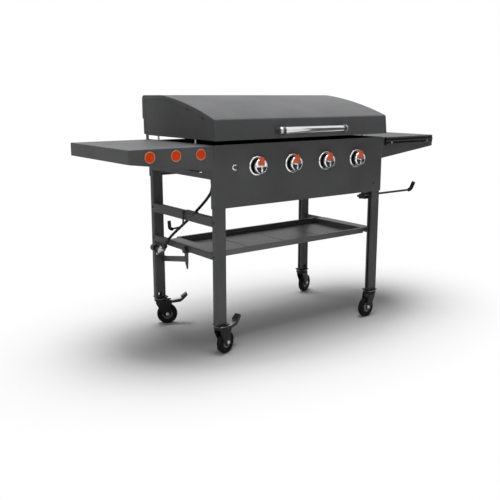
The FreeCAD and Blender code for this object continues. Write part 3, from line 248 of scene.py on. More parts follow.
    @staticmethod
    def line(name: str, points: Sequence[Vector]) -> Piece:
        """Run of edges, drawn by extruding one vertex from point to point.

        Args:
            name: Name of the piece.
            points: Frame positions in metres.

        Returns:
            The wire.
        """
        Bench.clear()
        bpy.ops.mesh.primitive_plane_add(size=MM, location=points[0])
        wire = bpy.context.object
        Bench.open_mesh("VERT")
        bpy.ops.mesh.merge(type="CENTER")
        for before, after in zip(points, points[1:]):
            bpy.ops.mesh.extrude_vertices_move(TRANSFORM_OT_translate={"value": after - before})
        bpy.ops.object.mode_set(mode="OBJECT")
        return Bench.settle(wire, name)

    @staticmethod
    def slab(name: str, points: Sequence[Vector], depth: Vector) -> Piece:
        """Outline filled and drawn out into a solid.

        Args:
            name: Name of the piece.
            points: Corners of the outline, in metres.
            depth: How far and where to the outline is extruded, in metres.

        Returns:
            The closed solid.
        """
        piece = Bench.line(name, list(points) + [points[0]])
        Bench.open_mesh()
        bpy.ops.mesh.remove_doubles(threshold=MERGE_DISTANCE)
        bpy.ops.mesh.edge_face_add()
        bpy.ops.mesh.extrude_region_move(TRANSFORM_OT_translate={"value": depth})
        Bench.close_mesh()
        return piece

    @staticmethod
    def modify(piece: Piece, kind: str, **settings: object) -> Piece:
        """Give a piece one modifier and apply it for good.

        Args:
            piece: Object to change.
            kind: Blender's name of the modifier's type.
            settings: Values of the modifier by name.

        Returns:
            The same object.
        """
        modifier = piece.modifiers.new(kind.lower(), kind)
        for setting, value in settings.items():
            setattr(modifier, setting, value)
        Bench.pick(piece)
        bpy.ops.object.modifier_apply(modifier=modifier.name)
        return piece

    @staticmethod
    def soften(piece: Piece, width: float, segments: int = 3, angle: float = 30.0) -> Piece:
        """Bevel the edges sharper than an angle.

        Args:
            piece: Object to soften.
            width: Bevel width in millimetres.
            segments: Steps across the bevel.
            angle: Smallest angle between faces, in degrees.

        Returns:
            The same object.
        """
        return Bench.modify(piece, "BEVEL", width=width * MM, segments=segments, limit_method="ANGLE",
                            angle_limit=math.radians(angle), use_clamp_overlap=True)

    @staticmethod
    def cut(piece: Piece, tools: Iterable[Piece]) -> Piece:
        """Cut tools out of a piece and throw them away.

        Args:
            piece: Object to cut.
            tools: Closed objects that leave their shape.

        Returns:
            The same object.
        """
        for tool in tools:
            Bench.modify(piece, "BOOLEAN", operation="DIFFERENCE", solver="EXACT", object=tool)
            bpy.data.objects.remove(tool)
        return piece

    @staticmethod
    def join(name: str, pieces: Sequence[Piece]) -> Piece:
        """Join pieces of one material into one object.

        Args:
            name: Name of the result.
            pieces: Objects to join.

        Returns:
            The joined object.
        """
        Bench.clear()
        for piece in pieces:
            piece.select_set(True)
        bpy.context.view_layer.objects.active = pieces[0]
        if len(pieces) > 1:
            bpy.ops.object.join()
        return Bench.label(pieces[0], name)

    @staticmethod
    def copied(piece: Piece, name: str, move: Matrix) -> Piece:
        """Copy of a piece with its own mesh, moved inside that mesh.

        Args:
            piece: Object to copy.
            name: Name of the copy.
            move: Where the copy goes, as a transform of the frame.

        Returns:
            The copy.
        """
        twin = piece.copy()
        twin.data = piece.data.copy()
        bpy.context.scene.collection.objects.link(twin)
        twin.data.transform(move)
        return Bench.label(twin, name)

    @staticmethod
    def rod(name: str, radius: float, start: Vector, end: Vector, rim: float, corners: int) -> Piece:
        """Round bar between two frame positions, with rounded rims.

        Args:
            name: Name of the piece.
            radius: Radius in millimetres.
            start: First end, in metres.
            end: Second end, in metres.
            rim: Size of the rounding at both ends, in millimetres.
            corners: Corners of the section.

        Returns:
            The bar.
        """
        length = (end - start).length / MM
        first = [(radius - rim, 0.0), (radius - rim * 0.3, rim * 0.3), (radius, rim)]
        last = [(width, length - along) for width, along in reversed(first)]
        return Bench.turned(name, first + last, start, end - start, corners)

    @staticmethod
    def bent_rod(name: str, points: Sequence[Vector], radius: float, bend: float) -> Piece:
        """Round bar along a run of points whose corners are rounded.

        Args:
            name: Name of the piece.
            points: Corners of the run, in metres.
            radius: Radius of the bar, in millimetres.
            bend: Radius of its bends, in millimetres.

        Returns:
            The bar as a mesh.
        """
        wire = Bench.line(name, points)
        Bench.modify(wire, "BEVEL", affect="VERTICES", width=bend * MM, segments=8, limit_method="NONE")
        bpy.ops.object.convert(target="CURVE")
        bar = bpy.context.object
        bar.data.bevel_depth = radius * MM
        bar.data.bevel_resolution = 6
        bar.data.use_fill_caps = True
        bpy.ops.object.convert(target="MESH")
        return Bench.settle(bpy.context.object, name)


class Outline:
    """Plane outlines and profiles, as pairs of millimetres."""

    @staticmethod
    def rounded(corners: Sequence[Triple], steps: int = 5, closed: bool = False) -> list[Pair]:
        """Run through corners, each rounded by its own radius.

        Args:
            corners: First and second coordinate and the corner's radius.
            steps: Chords of each rounding.
            closed: Whether the last corner joins the first.

        Returns:
            The run's points.
        """
        points: list[Pair] = []
        count = len(corners)
        for i, (u, v, radius) in enumerate(corners):
            here = Vector((u, v))
            if radius <= 0 or (not closed and i in (0, count - 1)):
                points.append((u, v))
                continue
            before = (Vector(corners[i - 1][:2]) - here).normalized()
            after = (Vector(corners[(i + 1) % count][:2]) - here).normalized()
            half = before.angle(after) / 2
            back = radius / math.tan(half)
            centre = here + (before + after).normalized() * (radius / math.sin(half))
            first, last = here + before * back - centre, here + after * back - centre
            turn = first.angle_signed(last)
            for k in range(steps + 1):
                spoke = first.copy()
                spoke.rotate(Matrix.Rotation(-turn * k / steps, 2))
                points.append(tuple(centre + spoke))
        return points

    @staticmethod
    def thinned(points: Sequence[Pair], apart: float) -> list[Pair]:
        """Run without the points that crowd the one before.

        Args:
            points: Points of the run.
            apart: Smallest distance that is kept.

        Returns:
            The remaining points.
        """
        kept = [points[0]]
        for point in points[1:]:
            if math.dist(point, kept[-1]) > apart:
                kept.append(point)
        return kept

    @staticmethod
    def mirrored(side: Sequence[Pair]) -> list[Pair]:
        """Closed profile of a wheel part from its upper half."""
        return list(side) + [(radius, -along) for radius, along in reversed(side)]

    @staticmethod
    def arc_through(a: Pair, b: Pair, c: Pair, steps: int) -> list[Pair]:
        """Points on the arc from a through b to c.

        Args:
            a: First end.
            b: Point between.
            c: Second end.
            steps: Chords.

        Returns:
            The points, both ends included.
        """
        (ax, ay), (bx, by), (cx, cy) = a, b, c
        d = 2 * (ax * (by - cy) + bx * (cy - ay) + cx * (ay - by))
        ux = ((ax * ax + ay * ay) * (by - cy) + (bx * bx + by * by) * (cy - ay)
              + (cx * cx + cy * cy) * (ay - by)) / d
        uy = ((ax * ax + ay * ay) * (cx - bx) + (bx * bx + by * by) * (ax - cx)
              + (cx * cx + cy * cy) * (bx - ax)) / d
        radius = math.hypot(ax - ux, ay - uy)
        start, end = math.atan2(ay - uy, ax - ux), math.atan2(cy - uy, cx - ux)
        angles = [start + (end - start) * k / steps for k in range(steps + 1)]
        return [(ux + radius * math.cos(angle), uy + radius * math.sin(angle)) for angle in angles]

    @staticmethod
    def lobed(radius: Callable[[int, float], float], count: int) -> list[Pair]:
        """Closed outline round a middle.

        Args:
            radius: Gives the radius from a corner's number and angle.
            count: Corners.

        Returns:
            The corners.
        """
        angles = [2 * math.pi * i / count for i in range(count)]
        return [(radius(i, angle) * math.cos(angle), radius(i, angle) * math.sin(angle))
                for i, angle in enumerate(angles)]


class Tree:
    """Node tree of a material or a world, laid out node by node."""

    def __init__(self, tree: bpy.types.NodeTree) -> None:
        """Start with an empty tree."""
        self.tree = tree
        self.tree.nodes.clear()

    def add(self, kind: str, values: Optional[dict[str, object]] = None) -> bpy.types.Node:
        """Add a node.

        Args:
            kind: Blender's name of the node's type.
            values: Values of its sockets by name.

        Returns:
            The node.
        """
        node = self.tree.nodes.new(kind)
        for socket, value in (values or {}).items():
            node.inputs[socket].default_value = value
        return node

    def link(self, source: Socket, target: Socket) -> None:
        """Join two sockets."""
        self.tree.links.new(source, target)

    def reckon(self, operation: str, first: Socket, second: Socket) -> Socket:
        """Reckon with two values.

        Args:
            operation: Blender's name of the sum.
            first: First value.
            second: Second value.

        Returns:
            The result.
        """
        node = self.add("ShaderNodeMath")
        node.operation = operation
        self.link(first, node.inputs[0])
        self.link(second, node.inputs[1])
        return node.outputs[0]

    def spread(self, value: Socket, low: float, high: float, from_low: float, from_high: float) -> Socket:
        """Map a pattern to a range of numbers.

        Args:
            value: Pattern to map.
            low: Result at the pattern's low end.
            high: Result at its high end.
            from_low: Low end of the pattern.
            from_high: High end of the pattern.

        Returns:
            The mapped value.
        """
        node = self.add("ShaderNodeMapRange", {"From Min": from_low, "From Max": from_high,
                                               "To Min": low, "To Max": high})
        self.link(value, node.inputs["Value"])
        return node.outputs[0]

    def blend(self, factor: Socket, low: Union[float, Socket], high: Union[float, Socket]) -> Socket:
        """Pass from one value to another.

        Args:
            factor: Zero for the first value, one for the second.
            low: First value.
            high: Second value.

        Returns:
            The blended value.
        """
        node = self.add("ShaderNodeMix")
        self.link(factor, node.inputs["Factor"])
        for socket, value in (("A", low), ("B", high)):
            if isinstance(value, float):
                node.inputs[socket].default_value = value
            else:
                self.link(value, node.inputs[socket])
        return node.outputs[0]


class Nodes(Tree):
    """Node tree of one material with its principled shader."""

    def __init__(self, name: str) -> None:
        """Make the material and its output.

        Args:
            name: Name of the material.
        """
        self.material = bpy.data.materials.new(name)
        self.material.use_nodes = True
        super().__init__(self.material.node_tree)
        self.shader = self.add("ShaderNodeBsdfPrincipled")
        self.out = self.add("ShaderNodeOutputMaterial")
        self.link(self.shader.outputs[0], self.out.inputs[0])
        self.place = self.add("ShaderNodeTexCoord").outputs["Object"]

    def feed(self, socket: str, value: Socket) -> None:
        """Drive one of the shader's sockets."""
        self.link(value, self.shader.inputs[socket])

    def fix(self, socket: str, value: object) -> None:
        """Set one of the shader's sockets."""
        self.shader.inputs[socket].default_value = value

    def stretched(self, scale: Triple) -> Socket:
        """Object coordinates scaled along the axes.

        Args:
            scale: Factor of each axis.

        Returns:
            The scaled coordinates.
        """
        node = self.add("ShaderNodeMapping", {"Scale": scale})
        self.link(self.place, node.inputs["Vector"])
        return node.outputs[0]

    def noise(self, scale: float, detail: float = 3.0, rough: float = 0.5,
              vector: Optional[Socket] = None) -> Socket:
        """Noise pattern.

        Args:
            scale: Waves per metre.
            detail: Octaves.
            rough: Weight of the finer octaves.
            vector: Coordinates to use instead of plain object coordinates.

        Returns:
            The pattern's factor.
        """
        node = self.add("ShaderNodeTexNoise", {"Scale": scale, "Detail": detail, "Roughness": rough})
        self.link(vector or self.place, node.inputs["Vector"])
        return node.outputs[0]

    def cells(self, scale: float) -> Socket:
        """Pattern of small round cells.

        Args:
            scale: Cells per metre.

        Returns:
            The distance to the nearest cell's middle.
        """
        node = self.add("ShaderNodeTexVoronoi", {"Scale": scale})
        self.link(self.place, node.inputs["Vector"])
        return node.outputs[0]

    def tint(self, factor: Socket, dark: Triple, light: Triple) -> Socket:
        """Pass from one colour to another.

        Args:
            factor: Zero for the first colour, one for the second.
            dark: First colour.
            light: Second colour.

        Returns:
            The blended colour.
        """
        node = self.add("ShaderNodeMix")
        node.data_type = "RGBA"
        node.inputs[6].default_value = (*dark, 1)
        node.inputs[7].default_value = (*light, 1)
        self.link(factor, node.inputs[0])
        return node.outputs[2]

    def bump(self, height: Socket, strength: float, distance: float,
             under: Optional[Socket] = None) -> Socket:
        """Bump the shader's normal by a height pattern.

        Args:
            height: Pattern used as height.
            strength: Share of the full effect.
            distance: Height of the pattern in metres.
            under: Normal of a bump laid under this one.

        Returns:
            The bumped normal.
        """
        node = self.add("ShaderNodeBump", {"Strength": strength, "Distance": distance})
        self.link(height, node.inputs["Height"])
        if under:
            self.link(under, node.inputs["Normal"])
        self.feed("Normal", node.outputs[0])
        return node.outputs[0]


@dataclass(frozen=True)
class PowderCoat:
    """Baked powder coat: fine orange peel, slight clouding and a satin sheen."""

    name: str
    color: Triple
    roughness: float = 0.5
    peel: float = 1.0
    sheen: float = 0.22
    clouding: float = 0.14
    cloud_scale: float = 5.0
    peel_scale: float = 520.0
    fine_scale: float = 2400.0
    worn_edge: float = 0.0014

    def make(self) -> bpy.types.Material:
        """Build the material.

        Returns:
            The material.
        """
        n = Nodes(self.name)
        cloud = n.spread(n.noise(self.cloud_scale, 3.0), 0.0, 1.0, 0.3, 0.7)
        dark = tuple(c * (1 - self.clouding) for c in self.color)
        light = tuple(c * (1 + self.clouding) for c in self.color)
        n.feed("Base Color", n.tint(cloud, dark, light))
        n.feed("Roughness", n.spread(n.noise(260.0, 2.0), self.roughness - 0.06, self.roughness + 0.08,
                                     0.3, 0.7))
        edge = n.add("ShaderNodeBevel", {"Radius": self.worn_edge})
        edge.samples = 4
        coarse = n.bump(n.noise(self.peel_scale, 2.0, 0.6), 0.22 * self.peel, 0.0004, edge.outputs[0])
        n.bump(n.noise(self.fine_scale, 1.0), 0.12 * self.peel, 0.0001, coarse)
        n.fix("Specular IOR Level", self.sheen)
        return n.material


@dataclass(frozen=True)
class BareMetal:
    """Plain metal with a drawn grain, from bright plating to dull sheet."""

    name: str
    color: Triple
    roughness: float
    grain: Triple
    grain_height: float
    stain: float = 0.1

    def make(self) -> bpy.types.Material:
        """Build the material.

        Returns:
            The material.
        """
        n = Nodes(self.name)
        lines = n.noise(1.0, 4.0, 0.7, n.stretched(self.grain))
        cloud = n.spread(n.noise(14.0, 4.0, 0.6), 0.0, 1.0, 0.35, 0.65)
        n.feed("Base Color", n.tint(cloud, tuple(c * (1 - self.stain) for c in self.color), self.color))
        n.feed("Roughness", n.spread(lines, self.roughness * 0.7, self.roughness * 1.3, 0.25, 0.75))
        n.bump(lines, 0.35, self.grain_height)
        n.fix("Metallic", 1.0)
        return n.material


@dataclass(frozen=True)
class Moulded:
    """Moulded plastic or rubber with a fine spark-eroded grain."""

    name: str
    color: Triple
    roughness: float = 0.45
    grain_scale: float = 1500.0
    grain_height: float = 0.00006
    gloss: float = 0.5

    def make(self) -> bpy.types.Material:
        """Build the material.

        Returns:
            The material.
        """
        n = Nodes(self.name)
        light = tuple(min(1.0, c * 1.08 + 0.002) for c in self.color)
        dark = tuple(c * 0.92 for c in self.color)
        n.feed("Base Color", n.tint(n.spread(n.noise(30.0, 3.0), 0.0, 1.0, 0.35, 0.65), dark, light))
        n.feed("Roughness", n.spread(n.noise(90.0, 3.0), self.roughness - 0.05, self.roughness + 0.07,
                                     0.3, 0.7))
        n.bump(n.cells(self.grain_scale), 0.3, self.grain_height)
        n.fix("Specular IOR Level", self.gloss)
        return n.material


@dataclass(frozen=True)
class SeasonedSteel:
    """Rolled cooking steel: oil-darkened patches over a scratched plate."""

    name: str
    oiled: Triple
    worn: Triple

    def make(self) -> bpy.types.Material:
        """Build the material.

        Returns:
            The material.
        """
        n = Nodes(self.name)
        patches = n.noise(7.0, 6.0, 0.62)
        n.feed("Base Color", n.tint(n.spread(patches, 0.0, 1.0, 0.38, 0.66), self.oiled, self.worn))
        n.feed("Roughness", n.spread(patches, 0.42, 0.66, 0.35, 0.7))
        n.bump(n.noise(1.0, 3.0, 0.6, n.stretched((30.0, 700.0, 700.0))), 0.3, 0.00006)
        n.fix("Specular IOR Level", 0.0)
        return n.material


class Finish(Enum):
    """Every finish of the station."""

    BODY = PowderCoat("body_powder_coat", (0.1, 0.101, 0.104))
    DARK_BODY = PowderCoat("dark_powder_coat", (0.05, 0.05, 0.052), 0.55)
    TRAY = PowderCoat("tray_powder_coat", (0.1, 0.101, 0.104), 0.4, 1.0, 0.9)
    FITTING = PowderCoat("fitting_powder_coat", (0.05, 0.05, 0.052), 0.45, 0.6)
    RIDGE = PowderCoat("ridge_coat", (0.075, 0.075, 0.078), 0.32)
    RAIL_BLACK = PowderCoat("rail_black", (0.009, 0.009, 0.009), 0.42)
    CASTER = PowderCoat("caster_paint", (0.013, 0.013, 0.014), 0.3, 0.4)
    DARK_ALLOY = PowderCoat("regulator_paint", (0.03, 0.03, 0.03), 0.4)
    CHROME = BareMetal("bezel_chrome", (0.86, 0.86, 0.87), 0.09, (60.0, 60.0, 60.0), 0.000004, 0.03)
    BAR_STEEL = BareMetal("handle_steel", (0.78, 0.78, 0.79), 0.1, (40.0, 200.0, 200.0), 0.000003)
    ZINC = BareMetal("zinc_plate", (0.62, 0.63, 0.65), 0.3, (300.0, 300.0, 300.0), 0.00002, 0.14)
    DARK_PLATING = BareMetal("dark_plating", (0.11, 0.11, 0.115), 0.16, (300.0, 300.0, 300.0), 0.00001)
    ALLOY = BareMetal("regulator_casting", (0.5, 0.5, 0.51), 0.3, (500.0, 500.0, 500.0), 0.00006, 0.18)
    BRASS = BareMetal("valve_brass", (0.72, 0.53, 0.24), 0.3, (400.0, 400.0, 400.0), 0.00003, 0.2)
    BLACK_PLASTIC = Moulded("black_moulding", (0.014, 0.014, 0.014), 0.42)
    DISH_BLACK = Moulded("bezel_dish", (0.008, 0.008, 0.008), 0.35, 900.0, 0.00002)
    ORANGE = Moulded("orange_moulding", (0.96, 0.066, 0.001), 0.42, 1800.0, 0.00001, 0.12)
    VISOR_ORANGE = Moulded("visor_orange", (0.86, 0.15, 0.055), 0.4, 1800.0, 0.00001, 0.25)
    CAP_RING = Moulded("cap_rim", (0.56, 0.3, 0.22), 0.4, 1800.0, 0.00001, 0.3)
    TYRE = Moulded("tyre_rubber", (0.004, 0.004, 0.0045), 0.55, 700.0, 0.00012, 0.14)
    HUB = Moulded("hub_moulding", (0.24, 0.24, 0.245), 0.4)
    HOSE = Moulded("hose_rubber", (0.0035, 0.0035, 0.0035), 0.5, 1200.0, 0.00005, 0.2)
    PEDAL_PAD = Moulded("pedal_rubber", (0.02, 0.02, 0.02), 0.34)
    PLATE = SeasonedSteel("seasoned_plate", (0.012, 0.0105, 0.0095), (0.036, 0.032, 0.028))


class Slot(Enum):
    """Material slots of the record."""

    STEEL = "black_steel"
    BARE = "bare_steel"
    CHROME = "chrome"
    PLASTIC = "black_plastic"
    ORANGE = "orange_plastic"
    GREY = "grey_plastic"
    TYRE = "tyre"
    RUBBER = "black_rubber"
    CAST = "cast_alloy"


NODE_FINISHES: tuple[tuple[str, Finish], ...] = (
    ("griddle_plate", Finish.PLATE), ("plate_rims", Finish.PLATE), ("lower_tray", Finish.TRAY),
    ("grease_cup", Finish.ZINC), ("hood_handle_bar", Finish.BAR_STEEL),
    ("hood_handle_brackets", Finish.FITTING), ("hood_rest_posts", Finish.ZINC),
    ("control_bezels", Finish.CHROME), ("igniter_button", Finish.BLACK_PLASTIC),
    ("gas_valves", Finish.BRASS), ("gas_manifold", Finish.ZINC), ("burner_tubes", Finish.ZINC),
    ("gas_hose", Finish.HOSE), ("regulator_nut", Finish.BLACK_PLASTIC), ("regulator", Finish.ALLOY),
    ("valve_stem", Finish.ZINC), ("knob", Finish.ORANGE), ("shelf_caps", Finish.ORANGE),
    ("tool_rail", Finish.DARK_BODY), ("screws", Finish.ZINC), ("tank_bracket", Finish.FITTING),
    ("tank_clamp_knob", Finish.BLACK_PLASTIC), ("left_hook", Finish.FITTING),
    ("right_bar_screw", Finish.BLACK_PLASTIC), ("right_bar", Finish.FITTING), ("hook_tips", Finish.HOSE),
    ("caster_plates", Finish.ZINC), ("caster_fork", Finish.FITTING), ("caster_hub", Finish.HUB),
    ("caster_tyre", Finish.TYRE), ("brake_pedal", Finish.BLACK_PLASTIC), ("", Finish.BODY))


@dataclass
class Palette:
    """The finishes as materials, each made once."""

    made: dict[Finish, bpy.types.Material] = field(default_factory=dict)

    def coat(self, piece: Piece, finish: Finish) -> None:
        """Give an object one finish.

        Args:
            piece: Object to coat.
            finish: Its finish, made at its first use.
        """
        if finish not in self.made:
            self.made[finish] = finish.value.make()
        piece.data.materials.clear()
        piece.data.materials.append(self.made[finish])

    def dress(self, piece: Piece, finish: Finish, slot: Slot) -> None:
        """Give a new piece one finish."""
        self.coat(piece, finish)

    def dress_frame(self, nodes: dict[str, Piece]) -> None:
        """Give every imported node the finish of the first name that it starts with."""
        for name, node in nodes.items():
            self.coat(node, next(finish for start, finish in NODE_FINISHES if name.startswith(start)))


@dataclass
class Assembly:
    """Sub-assembly that dresses its pieces and sets them on their bodies."""

    palette: Palette

    def fit(self, piece: Piece, finish: Finish, slot: Slot, body: str, node: str = "",
            angle: float = 35.0) -> Piece:
        """Shade, dress and place a finished piece.

        Args:
            piece: The piece as modelled.
            finish: Its finish.
            slot: Its slot of the record.
            body: Body that carries it.
            node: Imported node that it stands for, or nothing.
            angle: Edges flatter than this, in degrees, are shaded smooth.

        Returns:
            The same object.
        """
        self.shade(piece, finish, slot, angle)
        self.set_on(piece, body, node)
        return piece

    def shade(self, piece: Piece, finish: Finish, slot: Slot, angle: float = 35.0) -> None:
        """Shade and dress a piece.

        Args:
            piece: The piece as modelled.
            finish: Its finish.
            slot: Its slot of the record.
            angle: Edges flatter than this, in degrees, are shaded smooth.
        """
        Bench.pick(piece)
        bpy.ops.object.shade_smooth_by_angle(angle=math.radians(angle))
        self.palette.dress(piece, finish, slot)

    def set_on(self, piece: Piece, body: str, node: str = "") -> None:
        """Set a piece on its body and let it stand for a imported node, if one is named."""
        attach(piece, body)
        if node:
            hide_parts(node)

    def set_copy(self, piece: Piece, mark: str, move: Matrix, body: str, node: str = "") -> None:
        """Set a copy of a dressed piece in one of its places.

        Args:
            piece: The piece as drawn.
            mark: What tells this place from the others. It stands in the place of * in names.
            move: Where the copy goes.
            body: Body that carries it.
            node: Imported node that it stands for, or nothing.
        """
        twin = Bench.copied(piece, f"{piece.name}_{mark}", move)
        self.set_on(twin, body.replace("*", mark), node.replace("*", mark))


@dataclass
class Hood(Assembly):
    """Folded hood with recessed ends, slots and hems, its bar handle and two brackets."""

    half_width: float = 480.0
    front: float = -21.0
    front_lean: float = 9.0
    front_top: float = 966.0
    nose_round: float = 9.0
    arc_middle: Pair = (190.0, 1025.0)
    flat_start: float = 390.0
    top: float = 1058.0
    rear: float = 563.0
    rear_round: float = 18.0
    step: float = 9.0
    step_z: float = 955.0
    step_round: float = 1.5
    bottom: float = 884.0
    rear_foot_y: float = 535.0
    rear_foot_rise: float = 18.0
    rear_open_y: float = 520.0
    rear_open_z: float = 915.0
    face_margins: Pair = (0.3, 0.2)
    shortest_edge: float = 1.6
    wall: float = 1.6
    end_depth: float = 6.0
    border: float = 17.0
    recess: float = 1.1
    recess_foot: float = 6.0
    recess_corner: float = 15.0
    slot_half: Triple = (8.0, 12.0, 1.8)
    slot_places: tuple[Triple, ...] = ((183.0, 1000.0, 16.5), (73.0, 967.0, 20.5))
    hem: float = 12.0
    hem_end: float = 500.0
    hem_side_gap: float = 0.2
    hem_front_gap: float = 0.3
    handle_y: float = -52.0
    handle_z: float = 917.0
    handle_radius: float = 14.0
    handle_rim: float = 2.4
    handle_half: float = 183.0
    plug_inset: float = 1.0
    plug: Profile = ((14.3, -6.0), (14.8, -5.2), (14.8, 0.0), (13.8, 3.0), (11.0, 5.4), (6.0, 6.8),
                     (0.0, 7.2))
    bracket_inset: float = 13.0
    stalk: Profile = ((16.5, 0.05), (17.0, 1.0), (16.4, 2.6), (11.5, 3.6), (8.6, 6.0), (7.8, 10.0))
    stalk_gap: float = 6.0
    collar: Profile = ((14.05, -5.5), (15.2, -5.5), (16.0, -4.4), (16.0, 4.4), (15.2, 5.5), (14.05, 5.5))

    def arc(self) -> list[Pair]:
        """Curve of the top from the nose to the flat, as depth and height pairs."""
        return Outline.arc_through((self.front + self.front_lean, self.front_top), self.arc_middle,
                                   (self.flat_start, self.top), 26)

    def panel_outline(self) -> list[Pair]:
        """Outline of the recess in each end, a border's width under the arc."""
        rear = self.rear - self.step - self.border
        low = self.bottom + self.recess_foot
        return [(y, z - self.border) for y, z in self.arc()[1:]] + [
            (rear, self.top - self.border), (rear, low + self.recess_corner),
            (rear - self.recess_corner, low), (self.front + self.border, low)]

    def outline(self) -> list[Pair]:
        """Closed side outline as depth and height pairs."""
        arc, inner = self.arc(), self.rear - self.step
        nose = Outline.rounded([(self.front, self.bottom, 0), (*arc[0], self.nose_round), (*arc[2], 0)])
        back = Outline.rounded([(self.flat_start, self.top, 0), (self.rear, self.top, self.rear_round),
                                (self.rear, self.step_z, self.step_round),
                                (inner, self.step_z, self.step_round), (inner, self.rear_open_z, 0)])
        low = [(inner, self.bottom + self.rear_foot_rise), (self.rear_foot_y, self.bottom)]
        return nose[:-1] + arc[2:-1] + back + low

    def build(self) -> None:
        """Model every piece of the hood."""
        self.build_shell()
        self.build_hems()
        self.build_handle()
        self.build_brackets()

    def build_shell(self) -> None:
        """Skin and recessed, slotted ends in one folded sheet."""
        side_view = Outline.thinned(self.outline(), self.shortest_edge)
        points = [Bench.at(-self.half_width, y, z) for y, z in side_view]
        shell = Bench.slab("hood_skin", points, Bench.mm(2 * self.half_width, 0, 0))
        Bench.soften(shell, 2.0, 4, 60)
        for side in (-1, 1):
            x = side * (self.half_width - self.recess)
            edge = [Bench.at(x, y, z) for y, z in self.panel_outline()]
            pocket = Bench.slab("pocket", edge, Bench.mm(side * self.end_depth, 0, 0))
            Bench.cut(shell, [pocket] + self.slots(side))
        Bench.drop_faces(shell, self.is_open)
        Bench.modify(shell, "SOLIDIFY", thickness=self.wall * MM, offset=-1)
        self.fit(shell, Finish.BODY, Slot.STEEL, "hood", "hood_shell", 30)

    def is_open(self, face: bpy.types.MeshPolygon) -> bool:
        """Say whether a face lies where the sheet is open.

        Args:
            face: Face of the solid hood.

        Returns:
            True for the underside, the lower part of the rear and the inner ends of the slots.
        """
        sideways = abs(face.normal.x)
        floor = Bench.at(0, 0, self.bottom + self.face_margins[0])
        corner = Bench.at(0, self.rear_open_y, self.rear_open_z + self.face_margins[1])
        under = face.normal.z < -0.5 and face.center.z < floor.z
        behind = sideways < 0.5 and face.center.z < corner.z and face.center.y > corner.y
        inside = sideways > 0.9 and abs(face.center.x) < (self.half_width - self.end_depth) * MM
        return under or behind or inside

    def slots(self, side: int) -> list[Piece]:
        """Cutters of the tab slots in one end, along the arc.

        Args:
            side: Minus one for the left end, one for the right end.

        Returns:
            The cutters.
        """
        cutters = []
        dx, dy, dz = self.slot_half
        x = side * self.half_width
        for y, z, slope in self.slot_places:
            slot = Bench.block("slot", (x - dx, y - dy, z - dz), (x + dx, y + dy, z + dz))
            pivot = Matrix.Translation(Bench.at(0, y, z))
            slot.data.transform(pivot @ Matrix.Rotation(math.radians(slope), 4, "X") @ pivot.inverted())
            cutters.append(Bench.soften(slot, 1.4))
        return cutters

    def build_hems(self) -> None:
        """Inward hems along the lower edges, under the open sheet."""
        x, wall = self.half_width - self.hem_side_gap, self.wall
        low, high = self.bottom, self.bottom + wall
        strips = [Bench.block("hem", (left, self.front + wall, low), (left + self.hem, self.hem_end, high))
                  for left in (-x, x - self.hem)]
        strips.append(Bench.block("hem", (-x + wall, self.front + self.hem_front_gap, low),
                                  (x - wall, self.front + self.hem, high)))
        hems = Bench.soften(Bench.join("hood_hems", strips), 0.5, 2)
        self.fit(hems, Finish.BODY, Slot.STEEL, "hood", angle=32)

    def build_handle(self) -> None:
        """Round steel bar with a domed plug in each end."""
        ends = [Bench.at(side * self.handle_half, self.handle_y, self.handle_z) for side in (-1, 1)]
        bar = Bench.rod("handle_bar", self.handle_radius, *ends, self.handle_rim, 56)
        plugs = [Bench.turned("plug", self.plug, end - out * self.plug_inset * MM, out, 48)
                 for end, out in zip(ends, (LEFT, RIGHT))]
        self.fit(bar, Finish.BAR_STEEL, Slot.BARE, "hood", "hood_handle_bar", 40)
        self.fit(Bench.join("handle_plugs", plugs), Finish.ALLOY, Slot.BARE, "hood", angle=40)

    def build_brackets(self) -> None:
        """Dark collars round the bar on flared stalks."""
        rise = self.front_top - self.bottom
        lean = Vector((0, -rise, self.front_lean)).normalized()
        face = self.front + self.front_lean * (self.handle_z - self.bottom) / rise
        profile = (*self.stalk, (self.stalk[-1][0], abs(self.handle_y - face) - self.stalk_gap))
        stalks, collars = [], []
        for side in (-1, 1):
            x = side * (self.handle_half - self.bracket_inset)
            stalks.append(Bench.turned("stalk", profile, Bench.at(x, face, self.handle_z), lean, 40))
            middle = Bench.at(x, self.handle_y, self.handle_z)
            collars.append(Bench.ring("collar", self.collar, middle, RIGHT, 48))
        brackets = Bench.join("handle_brackets", stalks)
        self.fit(brackets, Finish.FITTING, Slot.STEEL, "hood", "hood_handle_brackets")
        self.fit(Bench.join("handle_collars", collars), Finish.DARK_PLATING, Slot.STEEL, "hood")


